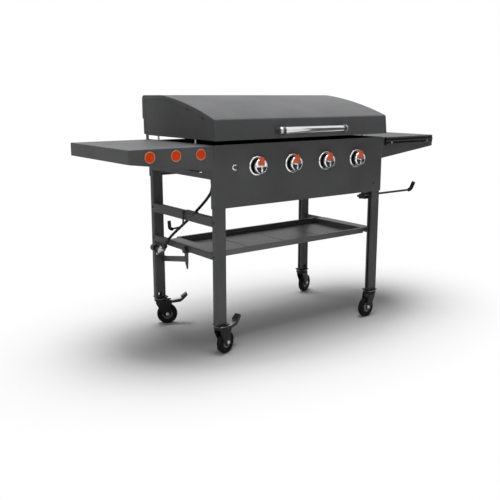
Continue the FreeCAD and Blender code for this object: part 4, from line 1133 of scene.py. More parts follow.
@dataclass
class Controls(Assembly):
    """Four chrome-ringed knobs and the igniter on the control panel."""

    first_x: float = -263.0
    pitch: float = 189.0
    count: int = 4
    z: float = 776.0
    bezel: Profile = ((30.2, 0.4), (41.0, 0.2), (41.0, 1.6), (40.2, 3.0), (38.2, 4.6), (35.6, 5.2),
                      (33.0, 4.6), (31.0, 3.0), (30.2, 1.6))
    dish: Profile = ((6.6, 0.2), (30.4, 0.2), (30.4, 1.6), (10.0, 1.2), (6.6, 1.2))
    skirt: Profile = ((24.0, 8.0), (26.4, 8.4), (27.0, 9.4), (27.4, 21.6), (20.0, 21.7))
    rim: Profile = ((27.3, 21.4), (31.0, 21.6), (32.0, 22.6), (31.9, 24.0), (30.6, 27.4), (28.4, 30.8),
                    (27.4, 31.5), (26.4, 31.3), (25.8, 30.4), (25.8, 28.4))
    visor_corners: tuple[Triple, ...] = (
        (-13.4, 3.4, 1.0), (13.4, 3.4, 1.0), (15.0, 14.0, 6.0), (12.6, 34.0, 7.0), (0.0, 37.4, 10.0),
        (-12.6, 34.0, 7.0), (-15.0, 14.0, 6.0))
    visor_back: float = 19.0
    visor_depth: float = 13.6
    lower_radius: float = 25.7
    lower_drop: float = 3.2
    lower_back: float = 28.2
    lower_depth: float = 0.9
    lower_chords: int = 30
    ledge: tuple[Triple, Triple] = ((-17.0, -32.6, -0.4), (17.0, -28.6, 2.2))
    blade: tuple[Pair, ...] = ((-4.4, -0.6), (4.4, -0.6), (5.0, -12.0), (5.0, -20.0), (3.4, -23.4),
                               (-3.4, -23.4), (-5.0, -20.0), (-5.0, -12.0))
    blade_back: float = 29.0
    blade_depth: float = 6.6
    igniter_x: float = -375.0
    igniter_ring: Profile = ((6.9, -30.0), (9.0, -30.0), (9.0, 0.1), (13.2, 0.1), (13.6, 1.0), (13.2, 2.6),
                             (11.8, 4.0), (10.2, 4.2), (9.0, 3.4), (8.6, 2.0), (6.9, 2.0))
    igniter_cap: Profile = ((6.4, -23.4), (6.45, -20.0), (6.4, 10.0), (7.6, 10.4), (8.0, 11.4), (7.8, 13.2),
                            (6.8, 14.8), (4.6, 15.6), (0.0, 15.8))

    def build(self) -> None:
        """Model one of each piece and copy it along the panel."""
        origin = Bench.at(0, 0, self.z)
        table = (
            (Bench.ring("bezel_ring", self.bezel, origin, FRONT, 72), Finish.CHROME, Slot.CHROME,
             "frame", "control_bezels"),
            (Bench.ring("bezel_dish", self.dish, origin, FRONT, 56), Finish.DISH_BLACK, Slot.PLASTIC,
             "frame", ""),
            (Bench.turned("knob_skirt", self.skirt, origin, FRONT, 64), Finish.BLACK_PLASTIC, Slot.PLASTIC,
             "knob_*", "knob_*"),
            (Bench.turned("knob_rim", self.rim, origin, FRONT, 72), Finish.CHROME, Slot.CHROME, "knob_*", ""),
            (self.visor(origin), Finish.VISOR_ORANGE, Slot.ORANGE, "knob_*", ""),
            (self.lower_face(origin), Finish.BLACK_PLASTIC, Slot.PLASTIC, "knob_*", ""),
            (self.grip(origin), Finish.CHROME, Slot.CHROME, "knob_*", ""))
        for piece, finish, slot, body, node in table:
            self.shade(piece, finish, slot)
            for i in range(self.count):
                move = Matrix.Translation(Bench.mm(self.first_x + self.pitch * i, 0, 0))
                self.set_copy(piece, str(i + 1), move, body, node)
            bpy.data.objects.remove(piece)
        self.build_igniter()

    def visor(self, origin: Vector) -> Piece:
        """Orange upper part of a knob's face, which laps over the rim at the top."""
        edge = Bench.upright(Outline.rounded(self.visor_corners, 6, True), -self.visor_back, origin)
        return Bench.soften(Bench.slab("knob_face", edge, Bench.mm(0, -self.visor_depth, 0)), 2.6, 4, 60)

    def lower_face(self, origin: Vector) -> Piece:
        """Dark lower part of a knob's face, cut off straight under its middle."""
        start = math.asin(-self.lower_drop / self.lower_radius)
        sweep = math.pi + 2 * start
        radius, chords = self.lower_radius, self.lower_chords
        angles = [start - sweep * k / chords for k in range(chords + 1)]
        edge = [(radius * math.cos(angle), radius * math.sin(angle)) for angle in angles]
        return Bench.slab("knob_lower", Bench.upright(edge, -self.lower_back, origin),
                          Bench.mm(0, -self.lower_depth, 0))

    def grip(self, origin: Vector) -> Piece:
        """Bright finger bar: a thin ledge across the face and a tapered blade below it."""
        ledge = Bench.block("ledge", *((x, y, self.z + z) for x, y, z in self.ledge))
        blade = Bench.slab("knob_grip", Bench.upright(self.blade, -self.blade_back, origin),
                           Bench.mm(0, -self.blade_depth, 0))
        return Bench.join("knob_grip", [Bench.soften(blade, 1.6, 3, 35), Bench.soften(ledge, 0.5, 2)])

    def build_igniter(self) -> None:
        """Chrome ring and dark button of the igniter."""
        place = Bench.at(self.igniter_x, 0, self.z)
        ring = Bench.ring("igniter_ring", self.igniter_ring, place, FRONT, 56)
        button = Bench.turned("igniter_cap", self.igniter_cap, place, FRONT, 40)
        self.fit(ring, Finish.CHROME, Slot.CHROME, "frame")
        self.fit(button, Finish.DARK_PLATING, Slot.PLASTIC, "igniter", "igniter_button")


@dataclass
class GasLine(Assembly):
    """Rubber hose from the manifold to the regulator, its ferrules, the regulator and its hand nut."""

    route: tuple[Triple, ...] = ((-437.0, 68.0, 730.0), (-437.0, 68.0, 696.0), (-438.0, 88.0, 655.0),
                                 (-439.0, 250.0, 538.0), (-462.0, 337.0, 468.0), (-484.0, 366.0, 428.0),
                                 (-488.8, 374.13, 412.48))
    radius: float = 6.0
    ferrule: Profile = ((7.0, -2.0), (8.6, -1.6), (9.0, 0.0), (9.0, 6.0), (8.2, 7.0), (8.2, 9.0), (8.8, 10.0),
                        (8.6, 15.0), (7.6, 24.0), (6.9, 31.0), (6.5, 32.0), (5.0, 32.2))
    centre: Triple = (-497.0, 388.0, 386.0)
    axis: Triple = (-0.52, 0.3, 0.8)
    dome: Profile = ((24.6, 0.1), (25.2, 0.5), (25.2, 2.2), (24.4, 3.0), (18.9, 3.2), (18.3, 5.2),
                     (16.6, 9.2), (13.2, 12.0), (9.4, 13.4), (8.8, 14.0), (8.6, 14.9), (7.8, 15.2))
    vent: Profile = ((5.6, 5.0), (5.6, 15.4), (4.8, 16.4), (3.0, 16.8))
    vent_offset: float = 12.5
    rivet: Profile = ((1.9, 2.8), (1.8, 3.8), (1.2, 4.3))
    rivet_circle: float = 21.9
    rivet_count: int = 6
    lug: Profile = ((4.4, -6.6), (4.6, -6.0), (4.6, 0.4), (4.0, 1.0))
    lug_circle: float = 26.2
    lug_rise: float = 3.4
    lug_turns: tuple[float, ...] = (0.5, 2.1, 3.7, 5.3)
    cup: Profile = ((9.0, -11.0), (12.5, -10.2), (17.5, -6.6), (20.2, -3.4), (20.8, -3.6), (27.4, -3.4),
                    (28.4, -2.6), (28.4, -0.8), (27.6, 0.0))
    inlet: Profile = ((7.0, 8.0), (7.0, 57.6), (9.6, 58.0), (10.0, 58.6), (10.0, 61.4), (9.4, 62.0),
                      (5.0, 62.4), (5.0, 79.0), (4.4, 82.6), (2.6, 84.0))
    outlet: Profile = ((8.2, 8.0), (8.2, 22.0), (9.4, 22.8), (9.4, 28.0), (8.4, 28.8), (6.2, 29.0))
    nut_start: float = 54.0
    nut_length: float = 26.0
    nut_radius: float = 16.0
    nut_ridges: int = 16
    groove: float = 1.3
    hollow_radius: float = 10.6
    hollow_floor: float = 3.7
    bore_radius: float = 7.1

    def build(self) -> None:
        hose = self.build_hose()
        ferrules = self.build_ferrules()
        regulator = self.build_regulator()
        nut = self.build_nut()
        tuple(Bench.at(*self.route[0]))

    def build_hose(self) -> Piece:
        """One smooth spline that leaves the manifold straight down."""
        curve = bpy.data.curves.new("hose", "CURVE")
        curve.dimensions = "3D"
        spline = curve.splines.new("NURBS")
        spline.points.add(len(self.route) - 1)
        for point, place in zip(spline.points, self.route):
            point.co = (*Bench.at(*place), 1.0)
        spline.order_u = 3
        spline.use_endpoint_u = True
        spline.resolution_u = 16
        curve.bevel_depth = self.radius * MM
        curve.bevel_resolution = 6
        curve.use_fill_caps = True
        hose = bpy.data.objects.new("hose", curve)
        bpy.context.scene.collection.objects.link(hose)
        self.palette.dress(hose, Finish.HOSE, Slot.RUBBER)
        self.set_on(hose, "frame", "gas_hose")
        return hose

    def build_ferrules(self) -> Piece:
        """Tapered crimped sleeves at both ends of the hose."""
        ends = []
        for here, there in ((self.route[0], self.route[1]), (self.route[-1], self.route[-2])):
            start = Bench.at(*here)
            ends.append(Bench.turned("ferrule", self.ferrule, start, Bench.at(*there) - start, 40))
        return self.fit(Bench.join("hose_ferrules", ends), Finish.BLACK_PLASTIC, Slot.RUBBER, "frame")

    def build_regulator(self) -> list[Piece]:
        """Riveted cover with its vent and lugs, and the cast body with its inlet and outlet."""
        middle, axis = Bench.at(*self.centre), Vector(self.axis).normalized()
        across = axis.orthogonal().normalized()
        cover = [Bench.turned("dome", self.dome, middle, axis, 64),
                 Bench.turned("vent", self.vent, middle + across * self.vent_offset * MM, axis, 24)]
        for i in range(self.rivet_count):
            arm = Matrix.Rotation(2 * math.pi * i / self.rivet_count, 3, axis) @ across
            cover.append(Bench.turned("rivet", self.rivet, middle + arm * self.rivet_circle * MM, axis, 16))
        for turn in self.lug_turns:
            arm = Matrix.Rotation(turn, 3, axis) @ across
            foot = middle + arm * self.lug_circle * MM + axis * self.lug_rise * MM
            cover.append(Bench.turned("lug", self.lug, foot, axis, 20))
        body = [Bench.turned("cup", self.cup, middle, axis, 64),
                Bench.turned("inlet", self.inlet, middle, BACK, 40),
                Bench.turned("outlet", self.outlet, middle, Bench.at(*self.route[-2]) - middle, 40)]
        return [self.fit(Bench.join(name, parts), finish, Slot.CAST, "frame", "regulator")
                for name, parts, finish in (("regulator_cover", cover, Finish.ALLOY),
                                            ("regulator_body", body, Finish.DARK_ALLOY))]

    def build_nut(self) -> Piece:
        """Ridged hand nut with an open rear."""
        origin, end = Bench.at(*self.centre), self.nut_start + self.nut_length
        edge = Outline.lobed(lambda i, _: self.nut_radius - (0.0 if i % 4 in (0, 1) else self.groove),
                             self.nut_ridges * 4)
        nut = Bench.slab("hand_nut", Bench.upright(edge, self.nut_start, origin),
                         Bench.mm(0, self.nut_length, 0))
        hollow = [(self.hollow_radius, self.nut_start + self.hollow_floor), (self.hollow_radius, end + 2)]
        bore = [(self.bore_radius, self.nut_start - 1), (self.bore_radius, self.nut_start + 5)]
        Bench.cut(nut, [Bench.turned("hollow", hollow, origin, BACK, 48),
                        Bench.turned("bore", bore, origin, BACK, 40)])
        return self.fit(Bench.soften(nut, 0.5, 2, 50), Finish.BLACK_PLASTIC, Slot.PLASTIC,
                         "regulator_nut", "regulator_nut")


@dataclass
class ShelfFittings(Assembly):
    """Caps on the left shelf, the tool rail on the right one, and the screws and bolts."""

    cap_x: float = -754.0
    cap_pitch: float = 110.0
    cap_count: int = 3
    cap_z: float = 835.0
    cap_rim: Profile = ((18.6, 0.0), (22.0, 0.0), (21.9, 1.0), (21.2, 2.0), (20.2, 2.4), (19.2, 2.0),
                        (18.6, 1.2))
    cap_disc: Profile = ((18.6, 0.1), (18.6, 1.0), (18.2, 1.4), (17.0, 1.6), (6.0, 1.75), (0.0, 1.8))
    rail_x: Pair = (490.0, 828.0)
    rail_z: Pair = (827.0, 865.0)
    rail_y: float = -10.0
    rail_depth: float = 9.9
    inner_round: float = 2.0
    outer_round: float = 12.0
    ridge_y: Pair = (-14.0, -9.6)
    ridges: tuple[Triple, ...] = ((0.2, 7.6, 5.0), (16.8, 21.9, 0.3), (31.2, 37.8, 5.0))
    screw_head: Profile = ((5.3, 0.0), (5.5, 0.3), (5.4, 1.2), (4.7, 2.1), (3.2, 2.6), (1.4, 2.8))
    cross_long: float = 2.6
    cross_wide: float = 0.55
    cross_floor: float = 1.3
    screw_y: float = -10.1
    screw_z: float = 839.2
    screw_inset: float = 40.0
    leg_screw: Triple = (426.0, 0.0, 654.0)
    bolt_flange: Profile = ((5.6, 0.0), (5.7, 0.4), (5.2, 0.9))
    bolt_head: Profile = ((4.9, 0.4), (4.9, 2.5), (4.3, 3.1))
    leg_x: float = 470.0
    leg_y: Pair = (14.6, 515.0)
    side_rail_z: Pair = (418.5, 560.0)
    rear_bolt_x: Pair = (415.0, 175.0)
    rear_bolt_y: float = 529.6
    rear_bolt_z: float = 730.0

    def build(self) -> None:
        """Model every fitting."""
        self.build_caps()
        self.build_rail()
        self.build_screws()

    def build_caps(self) -> None:
        """Orange discs in paler rims."""
        rims, discs = [], []
        for i in range(self.cap_count):
            place = Bench.at(self.cap_x + self.cap_pitch * i, 0, self.cap_z)
            rims.append(Bench.ring("rim", self.cap_rim, place, FRONT, 64))
            discs.append(Bench.turned("disc", self.cap_disc, place, FRONT, 64))
        self.fit(Bench.join("cap_rims", rims), Finish.CAP_RING, Slot.ORANGE, "frame")
        self.fit(Bench.join("cap_discs", discs), Finish.ORANGE, Slot.ORANGE, "frame", "shelf_caps")

    def build_rail(self) -> None:
        """Dark strip with three lighter ridges, rounded at its outer end."""
        (x0, x1), (z0, z1) = self.rail_x, self.rail_z
        outline = Outline.rounded([(x0, z0, self.inner_round), (x1, z0, self.outer_round),
                                   (x1, z1, self.outer_round), (x0, z1, self.inner_round)], 8, True)
        points = [Bench.at(x, self.rail_y, z) for x, z in outline]
        strip = Bench.slab("tool_rail_strip", points, Bench.mm(0, self.rail_depth, 0))
        Bench.soften(strip, 0.8, 3, 40)
        ridges = []
        front, back = self.ridge_y
        for low, high, inset in self.ridges:
            ridge = Bench.block("ridge", (x0 + 1, front, z0 + low), (x1 - inset, back, z0 + high))
            ridges.append(Bench.soften(ridge, 2.2, 4))
        self.fit(strip, Finish.RAIL_BLACK, Slot.PLASTIC, "frame", "tool_rail", 40)
        self.fit(Bench.join("tool_rail_ridges", ridges), Finish.RIDGE, Slot.PLASTIC, "frame", angle=40)

    def screw(self, x: float, y: float, z: float) -> Piece:
        """Pan-head screw with a cross recess, which faces the front.

        Args:
            x: Its middle's distance to the right.
            y: Depth of the head's underside.
            z: Its middle's height.

        Returns:
            The screw head.
        """
        head = Bench.turned("head", self.screw_head, Bench.at(x, y, z), FRONT, 40)
        floor = y - self.cross_floor
        for dx, dz in ((self.cross_long, self.cross_wide), (self.cross_wide, self.cross_long)):
            Bench.cut(head, [Bench.block("slot", (x - dx, y - 6, z - dz), (x + dx, floor, z + dz))])
        return head

    def bolt(self, place: Vector, outward: Vector) -> Piece:
        """Hexagon bolt head on its flange.

        Args:
            place: Middle of the head's underside.
            outward: Direction that the head faces.

        Returns:
            The bolt head.
        """
        return Bench.join("bolt", [Bench.turned("flange", self.bolt_flange, place, outward, 32),
                                   Bench.turned("hexagon", self.bolt_head, place, outward, 6)])

    def build_screws(self) -> None:
        """Screws on the tool rail and a front leg, bolts on the legs and the rear panel."""
        heads = [self.screw(x, self.screw_y, self.screw_z)
                 for x in (self.rail_x[0] + self.screw_inset, self.rail_x[1] - self.screw_inset)]
        bolts = [self.screw(*self.leg_screw)]
        for side, out, heights in ((-1, LEFT, self.side_rail_z), (1, RIGHT, self.side_rail_z[:1])):
            bolts += [self.bolt(Bench.at(side * self.leg_x, y, z), out) for y in self.leg_y for z in heights]
            bolts += [self.bolt(Bench.at(side * x, self.rear_bolt_y, self.rear_bolt_z), BACK)
                      for x in self.rear_bolt_x]
        for name, pieces, finish in (("screw_heads", heads, Finish.ZINC),
                                     ("bolt_heads", bolts, Finish.FITTING)):
            self.fit(Bench.join(name, pieces), finish, Slot.BARE, "frame", "screws", 32)


@dataclass
class Hangers(Assembly):
    """Soft tips of hook and bar, the bar's wing screw and the tank hanger's clamp knob."""

    hook_tip: tuple[Triple, ...] = ((-528.4, 238.0, 508.5), (-541.4, 238.0, 507.0), (-543.4, 238.0, 541.0))
    hook_radius: float = 7.4
    hook_bend: float = 12.0
    bar_tip: tuple[Triple, ...] = ((699.0, 18.0, 597.0), (712.3, 18.0, 597.0), (733.38, 18.0, 631.0))
    bar_radius: float = 9.2
    bar_bend: float = 20.0
    tip_reach: float = 2.5
    grip_depth: float = 13.0
    wing_at: Triple = (361.0, 18.0, 596.0)
    wing_start: float = -12.0
    wing_radius: float = 10.6
    wing_lobe: float = 3.4
    wing_lobes: int = 3
    boss: Profile = ((7.0, 0.6), (7.6, 1.6), (7.4, 9.0), (6.6, 10.0))
    shank: Profile = ((4.4, 9.6), (4.6, 10.4), (4.0, 11.0), (4.0, 58.0), (3.2, 58.7))
    knob_at: Triple = (-474.3, 222.0, 414.0)
    knob_radius: float = 13.4
    knob_lobe: float = 2.0
    knob_lobes: int = 6
    face: Profile = ((6.4, -0.3), (6.4, 0.9), (5.4, 1.0))
    stud: Profile = ((3.4, 0.0), (3.4, 4.0), (3.0, 4.4))

    def build(self) -> None:
        """Model every piece."""
        self.build_tips()
        self.build_wing_screw()
        self.build_clamp_knob()

    def build_tips(self) -> None:
        """Dipped soft sleeves with round ends."""
        tips = []
        for run, radius, bend in ((self.hook_tip, self.hook_radius, self.hook_bend),
                                  (self.bar_tip, self.bar_radius, self.bar_bend)):
            start, low, high = (Bench.at(*place) for place in run)
            path = [start, low, high + (high - low).normalized() * self.tip_reach * MM]
            tips.append(Bench.soften(Bench.bent_rod("tip", path, radius, bend), 2.4, 4, 60))
        self.fit(Bench.join("soft_tips", tips), Finish.HOSE, Slot.RUBBER, "frame", "hook_tips", 40)

    @staticmethod
    def lobed_grip(name: str, edge: Sequence[Pair], start: Vector, depth: float, rounding: float) -> Piece:
        """Lobed body of a hand screw, drawn out along X.

        Args:
            name: Name of the piece.
            edge: Its outline round the screw's axis.
            start: Middle of its first face, in metres.
            depth: Its length along X in millimetres.
            rounding: Rounding of its edges.

        Returns:
            The body.
        """
        points = [start + Bench.mm(0, u, v) for u, v in edge]
        return Bench.soften(Bench.slab(name, points, Bench.mm(depth, 0, 0)), rounding, 3, 60)

    def build_wing_screw(self) -> None:
        """Grip with three rounded lobes and a boss, on a plated shank."""
        x, y, z = self.wing_at
        start = Bench.at(x, y, z)
        edge = Outline.lobed(
            lambda _, angle: self.wing_radius + self.wing_lobe * math.cos(self.wing_lobes * angle), 60)
        grip = self.lobed_grip("wings", edge, Bench.at(x + self.wing_start, y, z), self.grip_depth, 1.8)
        screw = Bench.join("wing_screw", [grip, Bench.turned("boss", self.boss, start, RIGHT, 32)])
        shank = Bench.turned("wing_shank", self.shank, start, RIGHT, 32)
        self.fit(screw, Finish.BLACK_PLASTIC, Slot.PLASTIC, "bar_screw", "right_bar_screw", 40)
        self.fit(shank, Finish.ZINC, Slot.PLASTIC, "bar_screw", angle=40)

    def build_clamp_knob(self) -> None:
        """Lobed hand knob on its stud."""
        x, y, z = self.knob_at
        edge = Outline.lobed(
            lambda _, angle: self.knob_radius + self.knob_lobe * math.cos(self.knob_lobes * angle), 72)
        knob = Bench.join("clamp_knob", [
            self.lobed_grip("lobes", edge, Bench.at(x, y, z), -self.grip_depth, 1.4),
            Bench.turned("face", self.face, Bench.at(x - self.grip_depth, y, z), LEFT, 32),
            Bench.turned("stud", self.stud, Bench.at(x - 0.2, y, z), RIGHT, 24)])
        self.fit(knob, Finish.BLACK_PLASTIC, Slot.PLASTIC, "tank_clamp", "tank_clamp_knob", 40)


class Corner(Enum):
    """Where a caster stands, its heading in degrees and whether it has a brake."""

    FRONT_LEFT = ("front_left", -439.0, 14.6, 19.0, True)
    FRONT_RIGHT = ("front_right", 439.0, 14.6, 188.0, False)
    REAR_LEFT = ("rear_left", -439.0, 515.0, -25.0, True)
    REAR_RIGHT = ("rear_right", 439.0, 515.0, 20.0, False)


@dataclass
class Casters(Assembly):
    """Four swivel casters, drawn once trailing along +X and copied to their corners."""

    trail: float = 28.0
    wheel_radius: float = 47.5
    tyre: Profile = ((24.3, 8.0), (25.0, 9.4), (27.4, 9.9), (33.6, 10.8), (36.4, 11.5), (36.8, 10.6),
                     (38.0, 10.6), (38.4, 11.7), (40.2, 11.9), (40.6, 11.0), (41.8, 11.0), (42.2, 11.9),
                     (44.0, 11.8), (45.8, 10.6), (46.9, 8.6), (47.4, 6.0), (47.5, 2.6))
    hub: Profile = ((4.1, 13.7), (8.2, 13.7), (9.0, 12.9), (10.0, 8.2), (11.4, 7.0), (18.6, 6.8), (20.4, 7.8),
                    (21.4, 9.8), (22.2, 10.4), (23.6, 10.3), (24.2, 9.6))
    pin: Profile = ((4.0, -19.0), (4.0, 19.0))
    washer: Profile = ((8.6, 17.65), (8.8, 18.0), (8.4, 18.8))
    hexagon: Profile = ((6.2, 18.6), (6.2, 21.4), (5.3, 22.2))
    plate_half: Pair = (29.0, 25.0)
    plate_bottom: float = 130.0
    plate_depth: float = 2.98
    crown_top: float = 123.6
    crown: Profile = ((5.2, -6.0), (24.0, -6.2), (29.6, -11.4), (30.6, -11.0), (31.0, -9.6), (30.4, -5.0),
                      (28.6, -2.6), (25.0, -1.4), (5.2, -1.2))
    race: Profile = ((7.6, 112.0), (8.5, 112.6), (8.5, 115.6), (7.9, 116.2), (5.0, 116.3), (5.0, 122.6),
                     (28.8, 122.6), (30.6, 123.4), (31.4, 125.0), (30.8, 126.8), (28.4, 128.8), (24.0, 129.9))
    arm_gap: float = 14.6
    arm_wall: float = 3.0
    arm_rear: Triple = (-24.4, 119.6, 4.0)
    arm_front: tuple[Triple, ...] = ((31.0, 119.6, 6.0),)
    arm_ears: tuple[Triple, ...] = ((50.0, 115.6, 4.0), (50.0, 97.0, 5.0), (45.0, 84.0, 9.0))
    arm_foot: tuple[Triple, ...] = ((44.0, 33.0, 14.0), (12.0, 33.0, 14.0), (-24.4, 101.6, 9.0))
    pivot: Pair = (44.0, 103.0)
    pivot_pin: Profile = ((2.4, -18.4), (3.4, -18.2), (3.4, -17.6), (2.5, -17.6), (2.5, 17.6), (3.4, 17.6),
                          (3.4, 18.2), (2.4, 18.4))
    sleeve: Profile = ((4.4, -13.9), (5.0, -13.3), (5.0, 13.3), (4.4, 13.9))
    blade: tuple[Pair, ...] = ((-2.0, 110.2), (46.0, 118.2), (53.0, 121.2), (53.0, 122.4), (45.4, 119.6),
                               (-2.0, 111.6))
    blade_half: float = 12.0
    pressing: tuple[Triple, ...] = ((-4.0, 99.0, 2.0), (-4.0, 110.0, 2.0), (50.0, 119.0, 8.0),
                                    (79.0, 139.0, 2.0), (82.0, 133.4, 2.0), (58.0, 110.0, 4.0),
                                    (46.0, 103.0, 6.0))
    pressing_half: float = 13.4
    pad_foot: Pair = (53.0, 121.6)
    pad_slope: Pair = (29.0, 20.0)
    pad_length: float = 33.0
    pad_half: float = 15.0
    pad_round: float = 4.0
    pad_wall: float = 6.0
    shoe: tuple[Pair, ...] = ((-4.6, 0.0), (4.6, 0.0), (2.5, -8.9), (-2.5, -8.9))
    shoe_half: float = 13.2
    rib: Profile = ((0.9, -12.0), (1.3, -11.6), (1.3, 11.6), (0.9, 12.0))
    rib_rise: float = 6.1
    rib_first: float = 4.5
    rib_pitch: float = 6.0
    rib_count: int = 5

    def build(self) -> None:
        """Draw each piece once and copy it to the casters that have it."""
        hub = Bench.mm(self.trail, 0, self.wheel_radius)
        blade, pad = self.pedal()
        table = (
            (Bench.ring("tyre", Outline.mirrored(self.tyre), hub, BACK, 72), Finish.TYRE, Slot.TYRE,
             "wheel_*", "caster_tyre_*", None),
            (Bench.ring("hub", Outline.mirrored(self.hub), hub, BACK, 64), Finish.HUB, Slot.GREY,
             "wheel_*", "caster_hub_*", None),
            (self.axle(hub), Finish.ZINC, Slot.BARE, "caster_*", "", None),
            (self.fork("plain_fork", False), Finish.CASTER, Slot.STEEL, "caster_*", "caster_fork_*", False),
            (self.fork("braked_fork", True), Finish.CASTER, Slot.STEEL, "caster_*", "caster_fork_*", True),
            (blade, Finish.ZINC, Slot.PLASTIC, "pedal_*", "brake_pedal_*", True),
            (pad, Finish.PEDAL_PAD, Slot.PLASTIC, "pedal_*", "", True),
            (self.plate(), Finish.CASTER, Slot.BARE, "frame", "", None),
            (Bench.turned("caster_race", self.race, ORIGIN, UP, 56), Finish.DARK_PLATING, Slot.BARE,
             "frame", "caster_plates", None))
        for piece, finish, slot, body, node, wants_brake in table:
            self.shade(piece, finish, slot, 38)
            for corner in Corner:
                name, x, y, heading, braked = corner.value
                if wants_brake not in (None, braked):
                    continue
                turn = 0.0 if body == "frame" else heading
                move = Matrix.Translation(Bench.at(x, y, 0)) @ Matrix.Rotation(math.radians(turn), 4, "Z")
                self.set_copy(piece, name, move, body, node)
            bpy.data.objects.remove(piece)

    def axle(self, hub: Vector) -> Piece:
        """Axle bolt with a washer and a hexagon at each end."""
        parts = [Bench.turned("pin", self.pin, hub, BACK, 24)]
        for out in (FRONT, BACK):
            parts.append(Bench.turned("washer", self.washer, hub, out, 32))
            parts.append(Bench.turned("hexagon", self.hexagon, hub, out, 6))
        return Bench.join("axle", parts)

    def fork(self, name: str, braked: bool) -> Piece:
        """Pressed fork: two shaped arms under a domed crown.

        Args:
            name: Name of the piece.
            braked: Whether its arms carry the ears of a brake pedal.

        Returns:
            The fork.
        """
        front = self.arm_ears if braked else self.arm_front
        outline = Outline.rounded((self.arm_rear, *front, *self.arm_foot), 7, True)
        parts = []
        for y in (self.arm_gap, -self.arm_gap - self.arm_wall):
            arm = Bench.slab("arm", Bench.upright(outline, y), Bench.mm(0, self.arm_wall, 0))
            parts.append(Bench.soften(arm, 0.9, 3, 50))
        parts.append(Bench.ring("crown", self.crown, Bench.mm(0, 0, self.crown_top), UP, 56))
        if braked:
            x, z = self.pivot
            parts.append(Bench.turned("pin", self.pivot_pin, Bench.mm(x, 0, z), BACK, 24))
        return Bench.join(name, parts)

    @staticmethod
    def across(name: str, edge: Iterable[Pair], half: float, start: Vector) -> Piece:
        """Solid with the same side view all across the caster.

        Args:
            name: Name of the piece.
            edge: Its side view, as pairs of X and Z in millimetres.
            half: Half of its width in millimetres.
            start: Frame position that the side view is measured from.

        Returns:
            The solid.
        """
        return Bench.slab(name, Bench.upright(edge, -half, start), Bench.mm(0, 2 * half, 0))

    def pedal(self) -> tuple[Piece, Piece]:
        """Brake pedal: bright blade on its sleeve, and the black ribbed pad and shoe."""
        x, z = self.pivot
        pivot, over_floor = Bench.mm(x, 0, z), Bench.mm(x, 0, 0)
        sleeve = Bench.turned("boss", self.sleeve, pivot, BACK, 32)
        side = Outline.rounded(self.pressing, 5, True)
        parts = [Bench.soften(self.across("pressing", side, self.pressing_half, over_floor), 1.4, 3, 50)]
        blade = self.across("blade", self.blade, self.blade_half, over_floor)
        run, rise = self.pad_slope
        along = Vector((run, 0, rise)).normalized()
        up = Vector((-rise, 0, run)).normalized()
        foot = Vector((x + self.pad_foot[0], 0, self.pad_foot[1]))
        length, half, corner = self.pad_length, self.pad_half, self.pad_round
        pad = Outline.rounded([(0, -half, corner), (length, -half, corner), (length, half, corner),
                               (0, half, corner)], 5, True)
        points = [(foot + along * u + BACK * v) * MM for u, v in pad]
        parts.append(Bench.soften(Bench.slab("pad", points, up * self.pad_wall * MM), 1.2, 3, 50))
        for i in range(self.rib_count):
            place = foot + along * (self.rib_first + self.rib_pitch * i) + up * self.rib_rise
            parts.append(Bench.turned("rib", self.rib, place * MM, BACK, 12))
        parts.append(Bench.soften(self.across("shoe", self.shoe, self.shoe_half, pivot), 0.9))
        return Bench.join("pedal_blade", [sleeve, blade]), Bench.join("pedal_pad", parts)

    def plate(self) -> Piece:
        """Mounting plate under the leg's foot."""
        u, v = self.plate_half
        outline = Outline.rounded([(-u, -v, 5.0), (u, -v, 5.0), (u, v, 5.0), (-u, v, 5.0)], 6, True)
        points = [Bench.mm(x, y, self.plate_bottom) for x, y in outline]
        return Bench.soften(Bench.slab("caster_plate", points, Bench.mm(0, 0, self.plate_depth)), 0.6, 2, 50)


